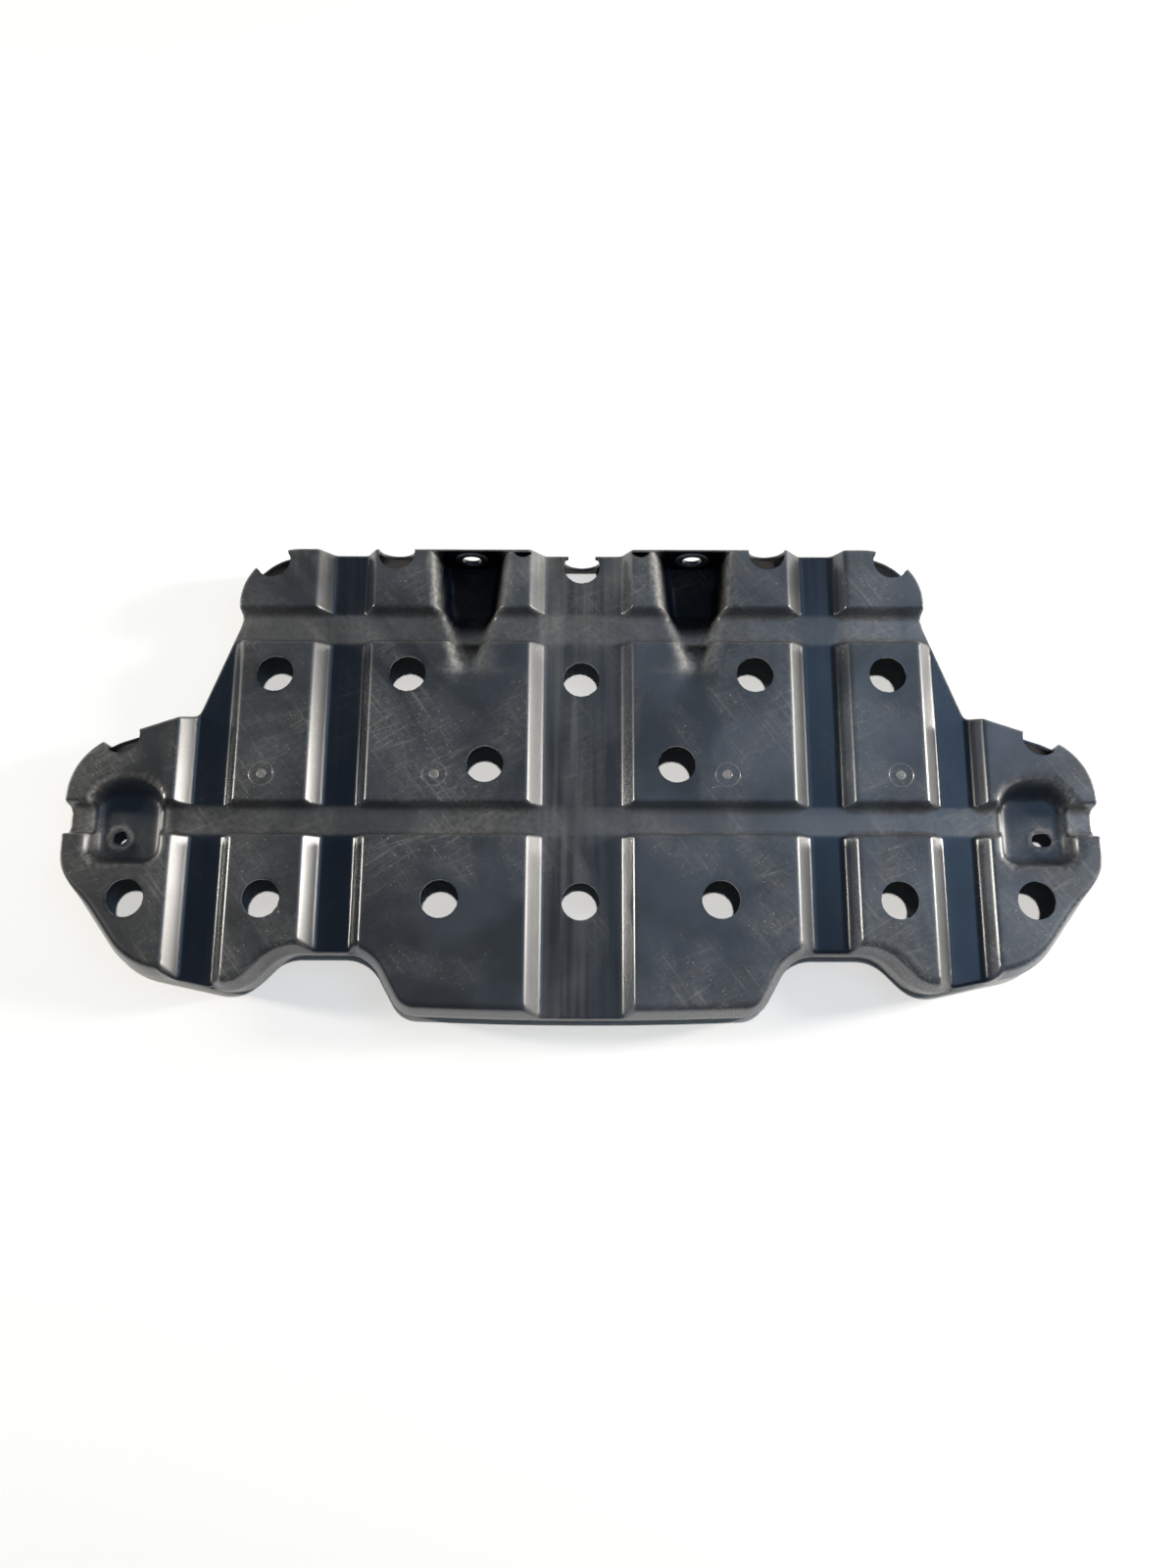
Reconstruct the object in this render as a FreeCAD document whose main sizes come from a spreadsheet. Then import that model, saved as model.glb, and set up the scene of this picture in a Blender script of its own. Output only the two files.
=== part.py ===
import FreeCAD, Part
import math
import os
import Sketcher

# Engine splash shield: one moulded plastic panel with raised pads, channels between them,
# a turned-down edge all round, two tool troughs, two bolt cups and rows of round holes.
# Millimetres, Z up, X to the right and Y to the rear. The edge stands on Z = 0.

os.makedirs("parts", exist_ok=True)
doc = FreeCAD.newDocument("splash_shield")

# Sizes, each with its own name in the sheet.
SIZES = [
    ("wall", 3.0, "thickness of the moulded skin"),
    ("height", 48.0, "pad top above the lower edge"),
    ("channel_depth", 15.0, "channel and groove floor below the pad tops"),
    ("half_width", 430.0, "middle to the end of a lobe"),
    ("half_depth", 202.25, "middle to the rear edge and to the front edge"),
    ("front_bow", 3.2, "how far the front corners stay behind the middle of the front"),
    ("body_half", 296.5, "middle to the side of the rear part"),
    ("body_side_low", 140.0, "where the side of the rear part starts to slant"),
    ("body_corner_radius", 50.0, "plan radius of the rear corners"),
    ("waist_x", 329.0, "inner corner between the rear part and a lobe"),
    ("waist_y", 52.8, "the same corner, front to back"),
    ("waist_radius", 8.0, "plan radius of that corner"),
    ("lobe_rear_y", 19.0, "rear outer corner of a lobe before rounding"),
    ("lobe_rear_radius", 56.0, "plan radius of the rear of a lobe"),
    ("lobe_side_y", 86.0, "front end of the straight end of a lobe"),
    ("lobe_side_radius", 70.0, "plan radius there"),
    ("lobe_front_x", 373.5, "outer front corner of a lobe"),
    ("lobe_front_y", 162.8, "the same corner, front to back"),
    ("lobe_front_radius", 65.0, "plan radius there"),
    ("lobe_nose_x", 279.0, "inner front corner of a lobe"),
    ("lobe_nose_y", 182.8, "the same corner, front to back"),
    ("lobe_nose_radius", 32.0, "plan radius there"),
    ("bay_outer_x", 245.5, "outer corner of the bay between lobe and front block"),
    ("bay_inner_x", 175.0, "inner corner of the bay"),
    ("bay_y", 149.3, "back of the bay"),
    ("bay_radius", 34.0, "plan radius of the bay corners"),
    ("block_x", 147.2, "corner of the front block"),
    ("block_radius", 24.0, "plan radius of that corner"),
    ("slope_run", 7.0, "how far the front wall leans back"),
    ("slope_drop", 19.0, "height of the leaning part of the front wall"),
    ("front_round", 8.0, "rounding on top of the front wall"),
    ("mid_top", 44.0, "middle channel, half width at the top corner"),
    ("mid_floor", 37.5, "middle channel, half width at the floor corner"),
    ("chan_a_top_in", 180.5, "second channel, inner top corner"),
    ("chan_a_floor_in", 189.5, "second channel, inner floor corner"),
    ("chan_a_floor_out", 223.5, "second channel, outer floor corner"),
    ("chan_a_top_out", 229.5, "second channel, outer top corner"),
    ("chan_b_top_in", 290.5, "outer channel, inner top corner"),
    ("chan_b_floor_in", 301.5, "outer channel, inner floor corner"),
    ("chan_b_floor_out", 334.5, "outer channel, outer floor corner"),
    ("chan_b_top_out", 339.5, "outer channel, outer top corner"),
    ("chan_b_end", 132.0, "rear end of the outer channel, inside the rear groove"),
    ("channel_round", 6.5, "rounding at the top and the floor of a channel"),
    ("groove_a_top_front", 117.2, "rear groove, front top corner"),
    ("groove_a_floor_front", 121.4, "rear groove, front floor corner"),
    ("groove_a_floor_rear", 144.3, "rear groove, rear floor corner"),
    ("groove_a_top_rear", 147.8, "rear groove, rear top corner"),
    ("groove_b_top_front", 51.9, "front groove, front top corner, to the front of the middle"),
    ("groove_b_floor_front", 49.2, "front groove, front floor corner"),
    ("groove_b_floor_rear", 27.6, "front groove, rear floor corner"),
    ("groove_b_top_rear", 24.6, "front groove, rear top corner"),
    ("groove_round", 4.6, "rounding at the top and the floor of a groove"),
    ("trough_rear_in", 65.0, "trough, inner lip at the rear wall"),
    ("trough_rear_out", 129.0, "trough, outer lip at the rear wall"),
    ("trough_floor_in", 76.0, "trough, inner edge of the floor at the rear wall"),
    ("trough_floor_out", 121.5, "trough, outer edge of the floor at the rear wall"),
    ("trough_mid_y", 151.0, "where the trough starts to taper"),
    ("trough_mid_in", 68.5, "trough, inner lip there"),
    ("trough_mid_out", 126.0, "trough, outer lip there"),
    ("trough_mid_floor_in", 80.0, "trough, inner edge of the floor there"),
    ("trough_mid_floor_out", 116.5, "trough, outer edge of the floor there"),
    ("trough_tip_y", 84.0, "tip of the trough"),
    ("trough_tip_in", 92.0, "trough, inner edge at the tip"),
    ("trough_tip_out", 104.5, "trough, outer edge at the tip"),
    ("trough_depth", 36.0, "trough floor below the pad tops at the rear wall"),
    ("trough_tip_depth", 1.5, "trough floor below the pad tops at the tip"),
    ("rear_bolt_x", 97.7, "middle to a rear bolt hole"),
    ("rear_bolt_drop", 18.0, "centre of a rear bolt hole below the pad tops"),
    ("rear_bolt_radius", 8.5, "radius of a rear bolt hole"),
    ("rear_seat_radius", 14.0, "radius of the round seat of a rear bolt"),
    ("rear_seat_rise", 1.2, "thickness of that seat"),
    ("cup_x", 379.8, "middle to the centre of a bolt cup"),
    ("cup_half_width", 31.8, "half width of a cup at the top"),
    ("cup_rear_y", 1.65, "rear rim of a cup, to the front of the middle"),
    ("cup_front_y", 77.65, "front rim of a cup, to the front of the middle"),
    ("cup_depth", 20.0, "cup floor below the pad tops"),
    ("cup_lean", 5.0, "how far a cup narrows on each side"),
    ("cup_rear_lean", 15.0, "how far the rear wall of a cup leans"),
    ("cup_rear_radius", 27.0, "plan radius of the rear corners of a cup"),
    ("cup_front_radius", 15.0, "plan radius of the front corners of a cup"),
    ("cup_bolt_x", 388.0, "middle to the bolt hole of a cup"),
    ("cup_bolt_y", 52.5, "bolt hole of a cup, to the front of the middle"),
    ("cup_bolt_radius", 5.8, "radius of the bolt hole in the left cup"),
    ("cup_seat_radius", 10.6, "radius of the round seat in a cup"),
    ("cup_seat_rise", 1.2, "height of that seat"),
    ("slot_length", 17.0, "length of the slot in the right cup"),
    ("slot_half_width", 5.5, "half width of that slot"),
    ("hole_radius", 15.75, "radius of the large round holes"),
    ("row_a_y", 87.35, "rear row of holes"),
    ("row_a_in", 148.5, "rear row, inner hole"),
    ("row_a_out", 261.7, "rear row, outer hole"),
    ("row_b_y", 8.15, "single holes in front of the rear row"),
    ("row_b_x", 80.7, "the same holes, from the middle"),
    ("row_c_y", 105.65, "front row of holes, to the front of the middle"),
    ("row_c_in", 115.4, "front row, inner hole"),
    ("row_c_mid", 261.6, "front row, middle hole"),
    ("row_c_out", 373.0, "front row, outer hole"),
    ("notch_mid_y", 191.8, "rear notch in the middle channel"),
    ("notch_a_x", 162.0, "second rear notch, from the middle"),
    ("notch_a_y", 198.75, "second rear notch, front to back"),
    ("notch_b_x", 271.0, "corner notch, from the middle"),
    ("notch_b_y", 192.75, "corner notch, front to back"),
    ("notch_lobe_x", 390.6, "notch in the rear of a lobe, from the middle"),
    ("notch_lobe_y", 34.75, "notch in the rear of a lobe, front to back"),
    ("notch_small_x", 51.6, "small rear notch, from the middle"),
    ("notch_small_y", 203.5, "small rear notch, front to back"),
    ("notch_small_radius", 9.2, "radius of the small rear notch"),
    ("scallop_mid_drop", 27.0, "wall opening of the middle notch, centre below the pad tops"),
    ("scallop_a_drop", 2.3, "wall opening of the second notch"),
    ("scallop_b_x", 269.0, "wall opening of the corner notch, from the middle"),
    ("scallop_low_drop", 15.5, "wall openings of the corner and lobe notches"),
    ("scallop_low_radius", 13.5, "radius of those openings"),
    ("notch_low", 13.0, "depth to which the corner and lobe notches open the wall from above"),
    ("gate_y", 0.85, "gate marks, to the front of the middle"),
    ("gate_in", 122.8, "inner gate mark, from the middle"),
    ("gate_out", 267.5, "outer gate mark, from the middle"),
    ("gate_ring_radius", 10.4, "outer radius of the ring round a gate mark"),
    ("gate_ring_width", 0.9, "width of that ring"),
    ("gate_ring_depth", 0.4, "depth of that ring"),
    ("gate_nub_radius", 3.7, "radius of the nub in the middle"),
    ("gate_nub_rise", 0.7, "height of the nub"),
]

sheet = doc.addObject("Spreadsheet::Sheet", "Dims")
D = {}
for row, (alias, number, note) in enumerate(SIZES, start=1):
    sheet.set("A%d" % row, alias.replace("_", " "))
    sheet.set("B%d" % row, str(number))
    sheet.set("C%d" % row, note)
    sheet.setAlias("B%d" % row, alias)
    D[alias] = number
doc.recompute()


# Small helpers: a size text such as "height - wall" gives a number and an expression.
def part_value(word):
    total = 1.0
    for factor in word.split("*"):
        total *= D[factor] if factor in D else float(factor)
    return total


def number_of(text):
    total = 0.0
    sign = 1.0
    for word in text.split():
        if word in "+-":
            sign = 1.0 if word == "+" else -1.0
        else:
            total += sign * part_value(word)
            sign = 1.0
    return total


def formula_of(text):
    words = []
    for word in text.split():
        if word in "+-":
            words.append(word)
        else:
            factors = ["Dims." + f if f in D else f for f in word.split("*")]
            words.append("*".join(factors))
    return " ".join(words)


def minus(text):
    words = text.split()
    if words[0] not in "+-":
        words.insert(0, "+")
    flipped = [{"+": "-", "-": "+"}.get(word, word) for word in words]
    if flipped[0] == "+":
        flipped = flipped[1:]
    return " ".join(flipped)


def mirrored(corners):
    return [(minus(x), y, r) for x, y, r in reversed(corners)]


def set_plane(item, plane, level):
    if plane == "plan":
        item.Placement = FreeCAD.Placement(
            FreeCAD.Vector(0, 0, number_of(level)), FreeCAD.Rotation())
        item.setExpression("Placement.Base.z", formula_of(level))
    elif plane == "front":
        item.Placement = FreeCAD.Placement(
            FreeCAD.Vector(0, number_of(level), 0),
            FreeCAD.Rotation(FreeCAD.Vector(1, 0, 0), 90))
        item.setExpression("Placement.Base.y", formula_of(level))
    else:
        # The sketch X runs to the rear and the sketch Y runs up.
        item.Placement = FreeCAD.Placement(
            FreeCAD.Vector(number_of(level), 0, 0),
            FreeCAD.Rotation(FreeCAD.Vector(1, 1, 1), 120))
        item.setExpression("Placement.Base.x", formula_of(level))


def corner_round(before, here, after, radius):
    ax, ay = before[0] - here[0], before[1] - here[1]
    bx, by = after[0] - here[0], after[1] - here[1]
    la, lb = math.hypot(ax, ay), math.hypot(bx, by)
    ax, ay, bx, by = ax / la, ay / la, bx / lb, by / lb
    half = math.acos(max(-1.0, min(1.0, ax * bx + ay * by))) / 2
    reach = radius / math.tan(half)
    start = (here[0] + ax * reach, here[1] + ay * reach)
    end = (here[0] + bx * reach, here[1] + by * reach)
    mx, my = ax + bx, ay + by
    lm = math.hypot(mx, my)
    gap = radius / math.sin(half)
    centre = (here[0] + mx / lm * gap, here[1] + my / lm * gap)
    left_turn = (ax * by - ay * bx) < 0
    return start, end, centre, left_turn


def outline(name, corners, plane="plan", level="0"):
    """A closed outline of straight lines with rounded corners, each size bound to the sheet."""
    sketch = doc.addObject("Sketcher::SketchObject", name)
    set_plane(sketch, plane, level)
    count = len(corners)
    points = [(number_of(x), number_of(y)) for x, y, r in corners]
    rounds = []
    for i, (x, y, r) in enumerate(corners):
        if r is None:
            rounds.append(None)
        else:
            rounds.append(corner_round(points[i - 1], points[i], points[(i + 1) % count], number_of(r)))
    shapes = []
    rules = []
    named = []
    line_at = []
    for i in range(count):
        j = (i + 1) % count
        first = rounds[i][1] if rounds[i] else points[i]
        last = rounds[j][0] if rounds[j] else points[j]
        line_at.append(len(shapes))
        shapes.append(Part.LineSegment(FreeCAD.Vector(first[0], first[1], 0),
                                       FreeCAD.Vector(last[0], last[1], 0)))
    point_total = len(shapes)
    marks = []
    for i, (x, y, r) in enumerate(corners):
        into, out = line_at[i - 1], line_at[i]
        if rounds[i] is None:
            rules.append(Sketcher.Constraint("Coincident", into, 2, out, 1))
            where, spot = out, 1
        else:
            start, end, centre, left_turn = rounds[i]
            a = math.atan2(start[1] - centre[1], start[0] - centre[0])
            b = math.atan2(end[1] - centre[1], end[0] - centre[0])
            low, high = (a, b) if left_turn else (b, a)
            if high < low:
                high += 2 * math.pi
            arc = len(shapes)
            circle = Part.Circle(FreeCAD.Vector(centre[0], centre[1], 0),
                                 FreeCAD.Vector(0, 0, 1), number_of(r))
            shapes.append(Part.ArcOfCircle(circle, low, high))
            enter, leave = (1, 2) if left_turn else (2, 1)
            rules.append(Sketcher.Constraint("Tangent", into, 2, arc, enter))
            rules.append(Sketcher.Constraint("Tangent", arc, leave, out, 1))
            where = len(shapes)
            shapes.append(Part.Point(FreeCAD.Vector(points[i][0], points[i][1], 0)))
            marks.append(where)
            spot = 1
            rules.append(Sketcher.Constraint("PointOnObject", where, 1, into))
            rules.append(Sketcher.Constraint("PointOnObject", where, 1, out))
            named.append((len(rules), r))
            rules.append(Sketcher.Constraint("Radius", arc, number_of(r)))
        named.append((len(rules), x))
        rules.append(Sketcher.Constraint("DistanceX", -1, 1, where, spot, points[i][0]))
        named.append((len(rules), y))
        rules.append(Sketcher.Constraint("DistanceY", -1, 1, where, spot, points[i][1]))
    sketch.addGeometry(shapes, False)
    for mark in marks:
        sketch.setConstruction(mark, True)
    sketch.addConstraint(rules)
    for index, text in named:
        sketch.setExpression("Constraints[%d]" % index, formula_of(text))
    return sketch


def extrude(name, profile, direction, forward, reverse="0", taper=None):
    item = doc.addObject("Part::Extrusion", name)
    item.Base = profile
    item.DirMode = "Custom"
    item.Dir = FreeCAD.Vector(*direction)
    item.setExpression("LengthFwd", formula_of(forward))
    item.setExpression("LengthRev", formula_of(reverse))
    item.Solid = True
    if taper is not None:
        item.setExpression("TaperAngle", taper)
    return item


def widen(name, profile, amount):
    item = doc.addObject("Part::Offset2D", name)
    item.Source = profile
    item.Value = number_of(amount)
    item.setExpression("Value", formula_of(amount))
    item.Join = 2
    return item


def cylinder(name, x, y, z, radius, length, axis="up"):
    item = doc.addObject("Part::Cylinder", name)
    item.setExpression("Radius", formula_of(radius))
    item.setExpression("Height", formula_of(length))
    turn = FreeCAD.Rotation()
    if axis == "rear":
        turn = FreeCAD.Rotation(FreeCAD.Vector(1, 0, 0), -90)
    item.Placement = FreeCAD.Placement(
        FreeCAD.Vector(number_of(x), number_of(y), number_of(z)), turn)
    item.setExpression("Placement.Base.x", formula_of(x))
    item.setExpression("Placement.Base.y", formula_of(y))
    item.setExpression("Placement.Base.z", formula_of(z))
    return item


def fuse(name, items):
    item = doc.addObject("Part::MultiFuse", name)
    item.Shapes = items
    return item


def cut(name, base, tool):
    item = doc.addObject("Part::Cut", name)
    item.Base = base
    item.Tool = tool
    return item


def mirror(name, source):
    item = doc.addObject("Part::Mirroring", name)
    item.Source = source
    item.Normal = FreeCAD.Vector(1, 0, 0)
    item.Base = FreeCAD.Vector(0, 0, 0)
    return item


def loft(name, sections):
    item = doc.addObject("Part::Loft", name)
    item.Sections = sections
    item.Solid = True
    item.Ruled = True
    return item


# Outline of the panel seen from above, right half from the front to the rear.
right_side = [
    ("block_x", "- half_depth + front_bow", "block_radius"),
    ("bay_inner_x", "- bay_y", "bay_radius"),
    ("bay_outer_x", "- bay_y", "bay_radius"),
    ("lobe_nose_x", "- lobe_nose_y", "lobe_nose_radius"),
    ("lobe_front_x", "- lobe_front_y", "lobe_front_radius"),
    ("half_width", "- lobe_side_y", "lobe_side_radius"),
    ("half_width", "lobe_rear_y", "lobe_rear_radius"),
    ("waist_x", "waist_y", "waist_radius"),
    ("body_half", "body_side_low", "body_corner_radius"),
    ("body_half", "half_depth", "body_corner_radius"),
]
front_middle = ("0", "- half_depth - front_bow*0.51", "half_depth*15")
panel_outline = outline("panel_outline", [front_middle] + right_side + mirrored(right_side))

# The front wall leans: this ring runs along the top of the front wall.
right_slope = [
    ("block_x - slope_run*0.58", "- half_depth + front_bow + slope_run", "block_radius - slope_run"),
    ("bay_inner_x - slope_run*0.58", "- bay_y + slope_run", "bay_radius + slope_run"),
    ("bay_outer_x + slope_run*0.41", "- bay_y + slope_run", "bay_radius + slope_run"),
    ("lobe_nose_x + slope_run*0.32", "- lobe_nose_y + slope_run*1.09", "lobe_nose_radius - slope_run"),
    ("lobe_front_x - slope_run*0.58", "- lobe_front_y + slope_run*0.9", "lobe_front_radius - slope_run"),
    ("half_width - 4", "- lobe_side_y + 1", "lobe_side_radius"),
    ("half_width + 14", "- lobe_side_y + 70", None),
    ("half_width + 60", "- lobe_side_y + 70", None),
    ("half_width + 60", "- half_depth - 60", None),
]
slope_middle = ("0", "- half_depth - front_bow*0.51 + slope_run", "half_depth*15")
slope_ring = outline("slope_ring", [slope_middle] + right_slope + mirrored(right_slope), "plan", "height")
doc.recompute()

# Outer block of the panel, and the hollow inside it one skin further in.
outer_block = extrude("outer_block", panel_outline, (0, 0, 1), "height")
slope_tool = extrude("slope_tool", slope_ring, (0, 0, -1), "slope_drop*1.3", "0",
                     "-atan(Dims.slope_run / Dims.slope_drop)")
sloped_block = cut("sloped_block", outer_block, slope_tool)
inner_outline = widen("inner_outline", panel_outline, "- wall")
inner_block = extrude("inner_block", inner_outline, (0, 0, 1), "height - wall", "2")
inner_ring = widen("inner_ring", slope_ring, "wall*1.064")
inner_slope_tool = extrude("inner_slope_tool", inner_ring, (0, 0, -1), "slope_drop*1.3", "0",
                           "-atan(Dims.slope_run / Dims.slope_drop)")
doc.recompute()

# The edge on top of the leaning front wall is eased in two steps.
round_ring_a = widen("round_ring_a", slope_ring, "front_round*0.494")
round_tool_a = extrude("round_tool_a", round_ring_a, (0, 0, -1), "front_round*0.25", "0", "-66.7")
round_ring_b = widen("round_ring_b", slope_ring, "front_round*0.2685")
round_tool_b = extrude("round_tool_b", round_ring_b, (0, 0, -1), "front_round*0.62", "0", "-43.3")
eased_block = cut("eased_block", cut("eased_block_a", sloped_block, round_tool_a), round_tool_b)
doc.recompute()


# Channels run front to back and grooves run across. Their tops and floors are rounded on the
# outside and left as plain corners on the hidden side.
def trench_profile(name, plane, level, sides, radius, grow):
    """A trench cross-section whose sides flare out into the pad tops, lower side first.

    grow is the skin thickness for the inside of the skin, or nothing for the outside."""
    top_a, floor_a, floor_b, top_b = sides
    g = " - " + grow if grow else ""
    back = " - " + grow + "*0.64" if grow else ""
    on = " + " + grow + "*0.64" if grow else ""
    top = "height" + g
    floor = "height - channel_depth" + g
    above = "height + channel_depth"
    ease = None if grow else radius
    corners = [
        (top_a + " - channel_depth*2", top, None),
        (top_a + back, top, ease),
        (floor_a + back, floor, ease),
        (floor_b + on, floor, ease),
        (top_b + on, top, ease),
        (top_b + " + channel_depth*2", top, None),
        (top_b + " + channel_depth*2", above, None),
        (top_a + " - channel_depth*2", above, None),
    ]
    return outline(name, corners, plane, level)


mid_sides = ("- mid_top", "- mid_floor", "mid_floor", "mid_top")
chan_a_sides = ("chan_a_top_in", "chan_a_floor_in", "chan_a_floor_out", "chan_a_top_out")
chan_b_sides = ("chan_b_top_in", "chan_b_floor_in", "chan_b_floor_out", "chan_b_top_out")
groove_a_sides = ("groove_a_top_front", "groove_a_floor_front",
                  "groove_a_floor_rear", "groove_a_top_rear")
groove_b_sides = ("- groove_b_top_front", "- groove_b_floor_front",
                  "- groove_b_floor_rear", "- groove_b_top_rear")


def trench_tools(tag, grow):
    """The trench tools for the outside or, with grow, for the inside of the skin."""
    p = " + " + grow if grow else ""
    along = "half_depth + 20"
    across = "half_width + 20"
    plans = [("mid", mid_sides, "front", "0", (0, 1, 0), along, along, "channel_round"),
             ("chan_a", chan_a_sides, "front", "0", (0, 1, 0), along, along, "channel_round"),
             ("chan_b", chan_b_sides, "front", "chan_b_end" + p, (0, -1, 0),
              along + " + chan_b_end", "0", "channel_round"),
             ("groove_a", groove_a_sides, "side", "0", (1, 0, 0), across, across, "groove_round"),
             ("groove_b", groove_b_sides, "side", "0", (1, 0, 0), across, across, "groove_round")]
    made = []
    for key, sides, plane, level, direction, forward, reverse, radius in plans:
        profile = trench_profile("%s_profile_%s" % (key, tag), plane, level, sides, radius, grow)
        made.append(extrude(key + "_" + tag, profile, direction, forward, reverse))
    return made


outer_trenches = trench_tools("outer", "")
inner_trenches = trench_tools("inner", "wall")


# A trough narrows from the rear wall to a tip. A cup is a pocket with a leaning rear wall.
def trough_tool(tag, grow):
    g = " - " + grow if grow else ""
    p = " + " + grow if grow else ""
    stations = [
        ("half_depth - wall" + (" + 0.5" if grow else ""), "trough_rear_in", "trough_floor_in",
         "trough_floor_out", "trough_rear_out", "trough_depth"),
        ("trough_mid_y", "trough_mid_in", "trough_mid_floor_in",
         "trough_mid_floor_out", "trough_mid_out", "trough_depth - 2"),
        ("trough_tip_y" + g, "trough_tip_in", "trough_tip_in + 2",
         "trough_tip_out - 2", "trough_tip_out", "trough_tip_depth"),
    ]
    sections = []
    for index, (y, top_in, low_in, low_out, top_out, drop) in enumerate(stations):
        corners = [
            (low_in + g, "height " + minus(drop) + g, None),
            (low_out + p, "height " + minus(drop) + g, None),
            (top_out + p, "height", None),
            (top_out + p, "height + 4", None),
            (top_in + g, "height + 4", None),
            (top_in + g, "height", None),
        ]
        sections.append(outline("trough_%s_%d" % (tag, index + 1), corners, "front", y))
    return loft("trough_" + tag, sections)


def cup_tool(tag, grow):
    g = " - " + grow if grow else ""
    p = " + " + grow if grow else ""
    inner = "cup_x - cup_half_width" + g
    outer = "cup_x + cup_half_width" + p
    front = "- cup_front_y" + g
    rear = "- cup_rear_y" + p
    top = [(inner, front, "cup_front_radius" + p), (outer, front, "cup_front_radius" + p),
           (outer, rear, "cup_rear_radius" + p), (inner, rear, "cup_rear_radius" + p)]
    low = [(inner + " + cup_lean", front + " + cup_lean", "cup_front_radius - 3" + p),
           (outer + " - cup_lean", front + " + cup_lean", "cup_front_radius - 3" + p),
           (outer + " - cup_lean", rear + " - cup_rear_lean", "cup_front_radius" + p),
           (inner + " + cup_lean", rear + " - cup_rear_lean", "cup_front_radius" + p)]
    rim = outline("cup_rim_" + tag, top, "plan", "height")
    floor = outline("cup_floor_" + tag, low, "plan", "height - cup_depth" + g)
    pocket = loft("cup_pocket_" + tag, [floor, rim])
    above = extrude("cup_above_" + tag, rim, (0, 0, 1), "6")
    return fuse("cup_" + tag, [pocket, above])


outer_right = fuse("outer_right", [outer_trenches[1], outer_trenches[2],
                                   trough_tool("outer", ""), cup_tool("outer", "")])
inner_right = fuse("inner_right", [inner_trenches[1], inner_trenches[2],
                                   trough_tool("inner", "wall"), cup_tool("inner", "wall")])
outer_left = mirror("outer_left", outer_right)
inner_left = mirror("inner_left", inner_right)
outer_middle = fuse("outer_middle", [outer_trenches[0], outer_trenches[3], outer_trenches[4]])
inner_middle = fuse("inner_middle", [inner_trenches[0], inner_trenches[3], inner_trenches[4]])
doc.recompute()

outer_form = cut("outer_form", cut("outer_form_c", cut("outer_form_b", eased_block, outer_middle),
                                   outer_right), outer_left)
inner_form = cut("inner_form", cut("inner_form_d", cut("inner_form_c", cut(
    "inner_form_b", inner_block, inner_slope_tool), inner_middle), inner_right), inner_left)
skin = cut("skin", outer_form, inner_form)
doc.recompute()

# Round seats for the bolts and the nubs of the gate marks are raised from the skin.
raised_right = [
    cylinder("rear_seat", "rear_bolt_x", "half_depth - wall - rear_seat_rise",
             "height - rear_bolt_drop", "rear_seat_radius", "rear_seat_rise + 1", "rear"),
    cylinder("cup_seat", "cup_bolt_x", "- cup_bolt_y", "height - cup_depth - 1",
             "cup_seat_radius", "cup_seat_rise + 1"),
    cylinder("gate_nub_in", "gate_in", "- gate_y", "height - 0.5",
             "gate_nub_radius", "gate_nub_rise + 0.5"),
    cylinder("gate_nub_out", "gate_out", "- gate_y", "height - 0.5",
             "gate_nub_radius", "gate_nub_rise + 0.5"),
]
raised = fuse("raised", raised_right)
raised_left = mirror("raised_left", raised)
full_skin = fuse("full_skin", [skin, raised, raised_left])


# Round holes through the pads and the middle channel.
def hole(name, x, y, low="height - channel_depth - wall - 3"):
    return cylinder(name, x, y, low, "hole_radius", "height + 3 " + minus(low))


def gate_ring(name, x):
    disc = cylinder(name + "_disc", x, "- gate_y", "height - gate_ring_depth",
                    "gate_ring_radius", "2")
    core = cylinder(name + "_core", x, "- gate_y", "height - 1",
                    "gate_ring_radius - gate_ring_width", "4")
    return cut(name, disc, core)


small_round = cylinder("small_round", "notch_small_x", "notch_small_y",
                       "height - channel_depth - wall", "notch_small_radius", "channel_depth + 6")
small_keep = doc.addObject("Part::Box", "small_keep")
for prop, text in (("Length", "notch_small_radius*4"), ("Width", "notch_small_radius*4"),
                   ("Height", "height*2")):
    small_keep.setExpression(prop, formula_of(text))
for prop, text in (("x", "notch_small_x - notch_small_radius*2"), ("y", "half_depth - wall"),
                   ("z", "0")):
    small_keep.setExpression("Placement.Base." + prop, formula_of(text))
small_notch = cut("small_notch", small_round, small_keep)

# A rear notch opens the skin from above and the rear wall from behind.
cutters_right = fuse("cutters_right", [
    hole("hole_a_in", "row_a_in", "row_a_y"),
    hole("hole_a_out", "row_a_out", "row_a_y"),
    hole("hole_b", "row_b_x", "row_b_y"),
    hole("hole_c_in", "row_c_in", "- row_c_y"),
    hole("hole_c_mid", "row_c_mid", "- row_c_y"),
    hole("hole_c_out", "row_c_out", "- row_c_y"),
    hole("notch_a", "notch_a_x", "notch_a_y", "height - wall - 0.5"),
    hole("notch_b", "notch_b_x", "notch_b_y", "height - notch_low"),
    hole("notch_lobe", "notch_lobe_x", "notch_lobe_y", "height - notch_low"),
    cylinder("scallop_a", "notch_a_x", "half_depth - wall - 0.5", "height - scallop_a_drop",
             "hole_radius", "wall + 3", "rear"),
    cylinder("scallop_b", "scallop_b_x", "half_depth - 20", "height - scallop_low_drop",
             "scallop_low_radius", "23", "rear"),
    cylinder("scallop_lobe", "notch_lobe_x", "notch_lobe_y - 13", "height - scallop_low_drop",
             "scallop_low_radius", "23", "rear"),
    cylinder("rear_bolt_hole", "rear_bolt_x", "half_depth - wall - 5",
             "height - rear_bolt_drop", "rear_bolt_radius", "wall + 8", "rear"),
    gate_ring("gate_ring_in", "gate_in"),
    gate_ring("gate_ring_out", "gate_out"),
    small_notch,
])
cutters_left = mirror("cutters_left", cutters_right)
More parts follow.
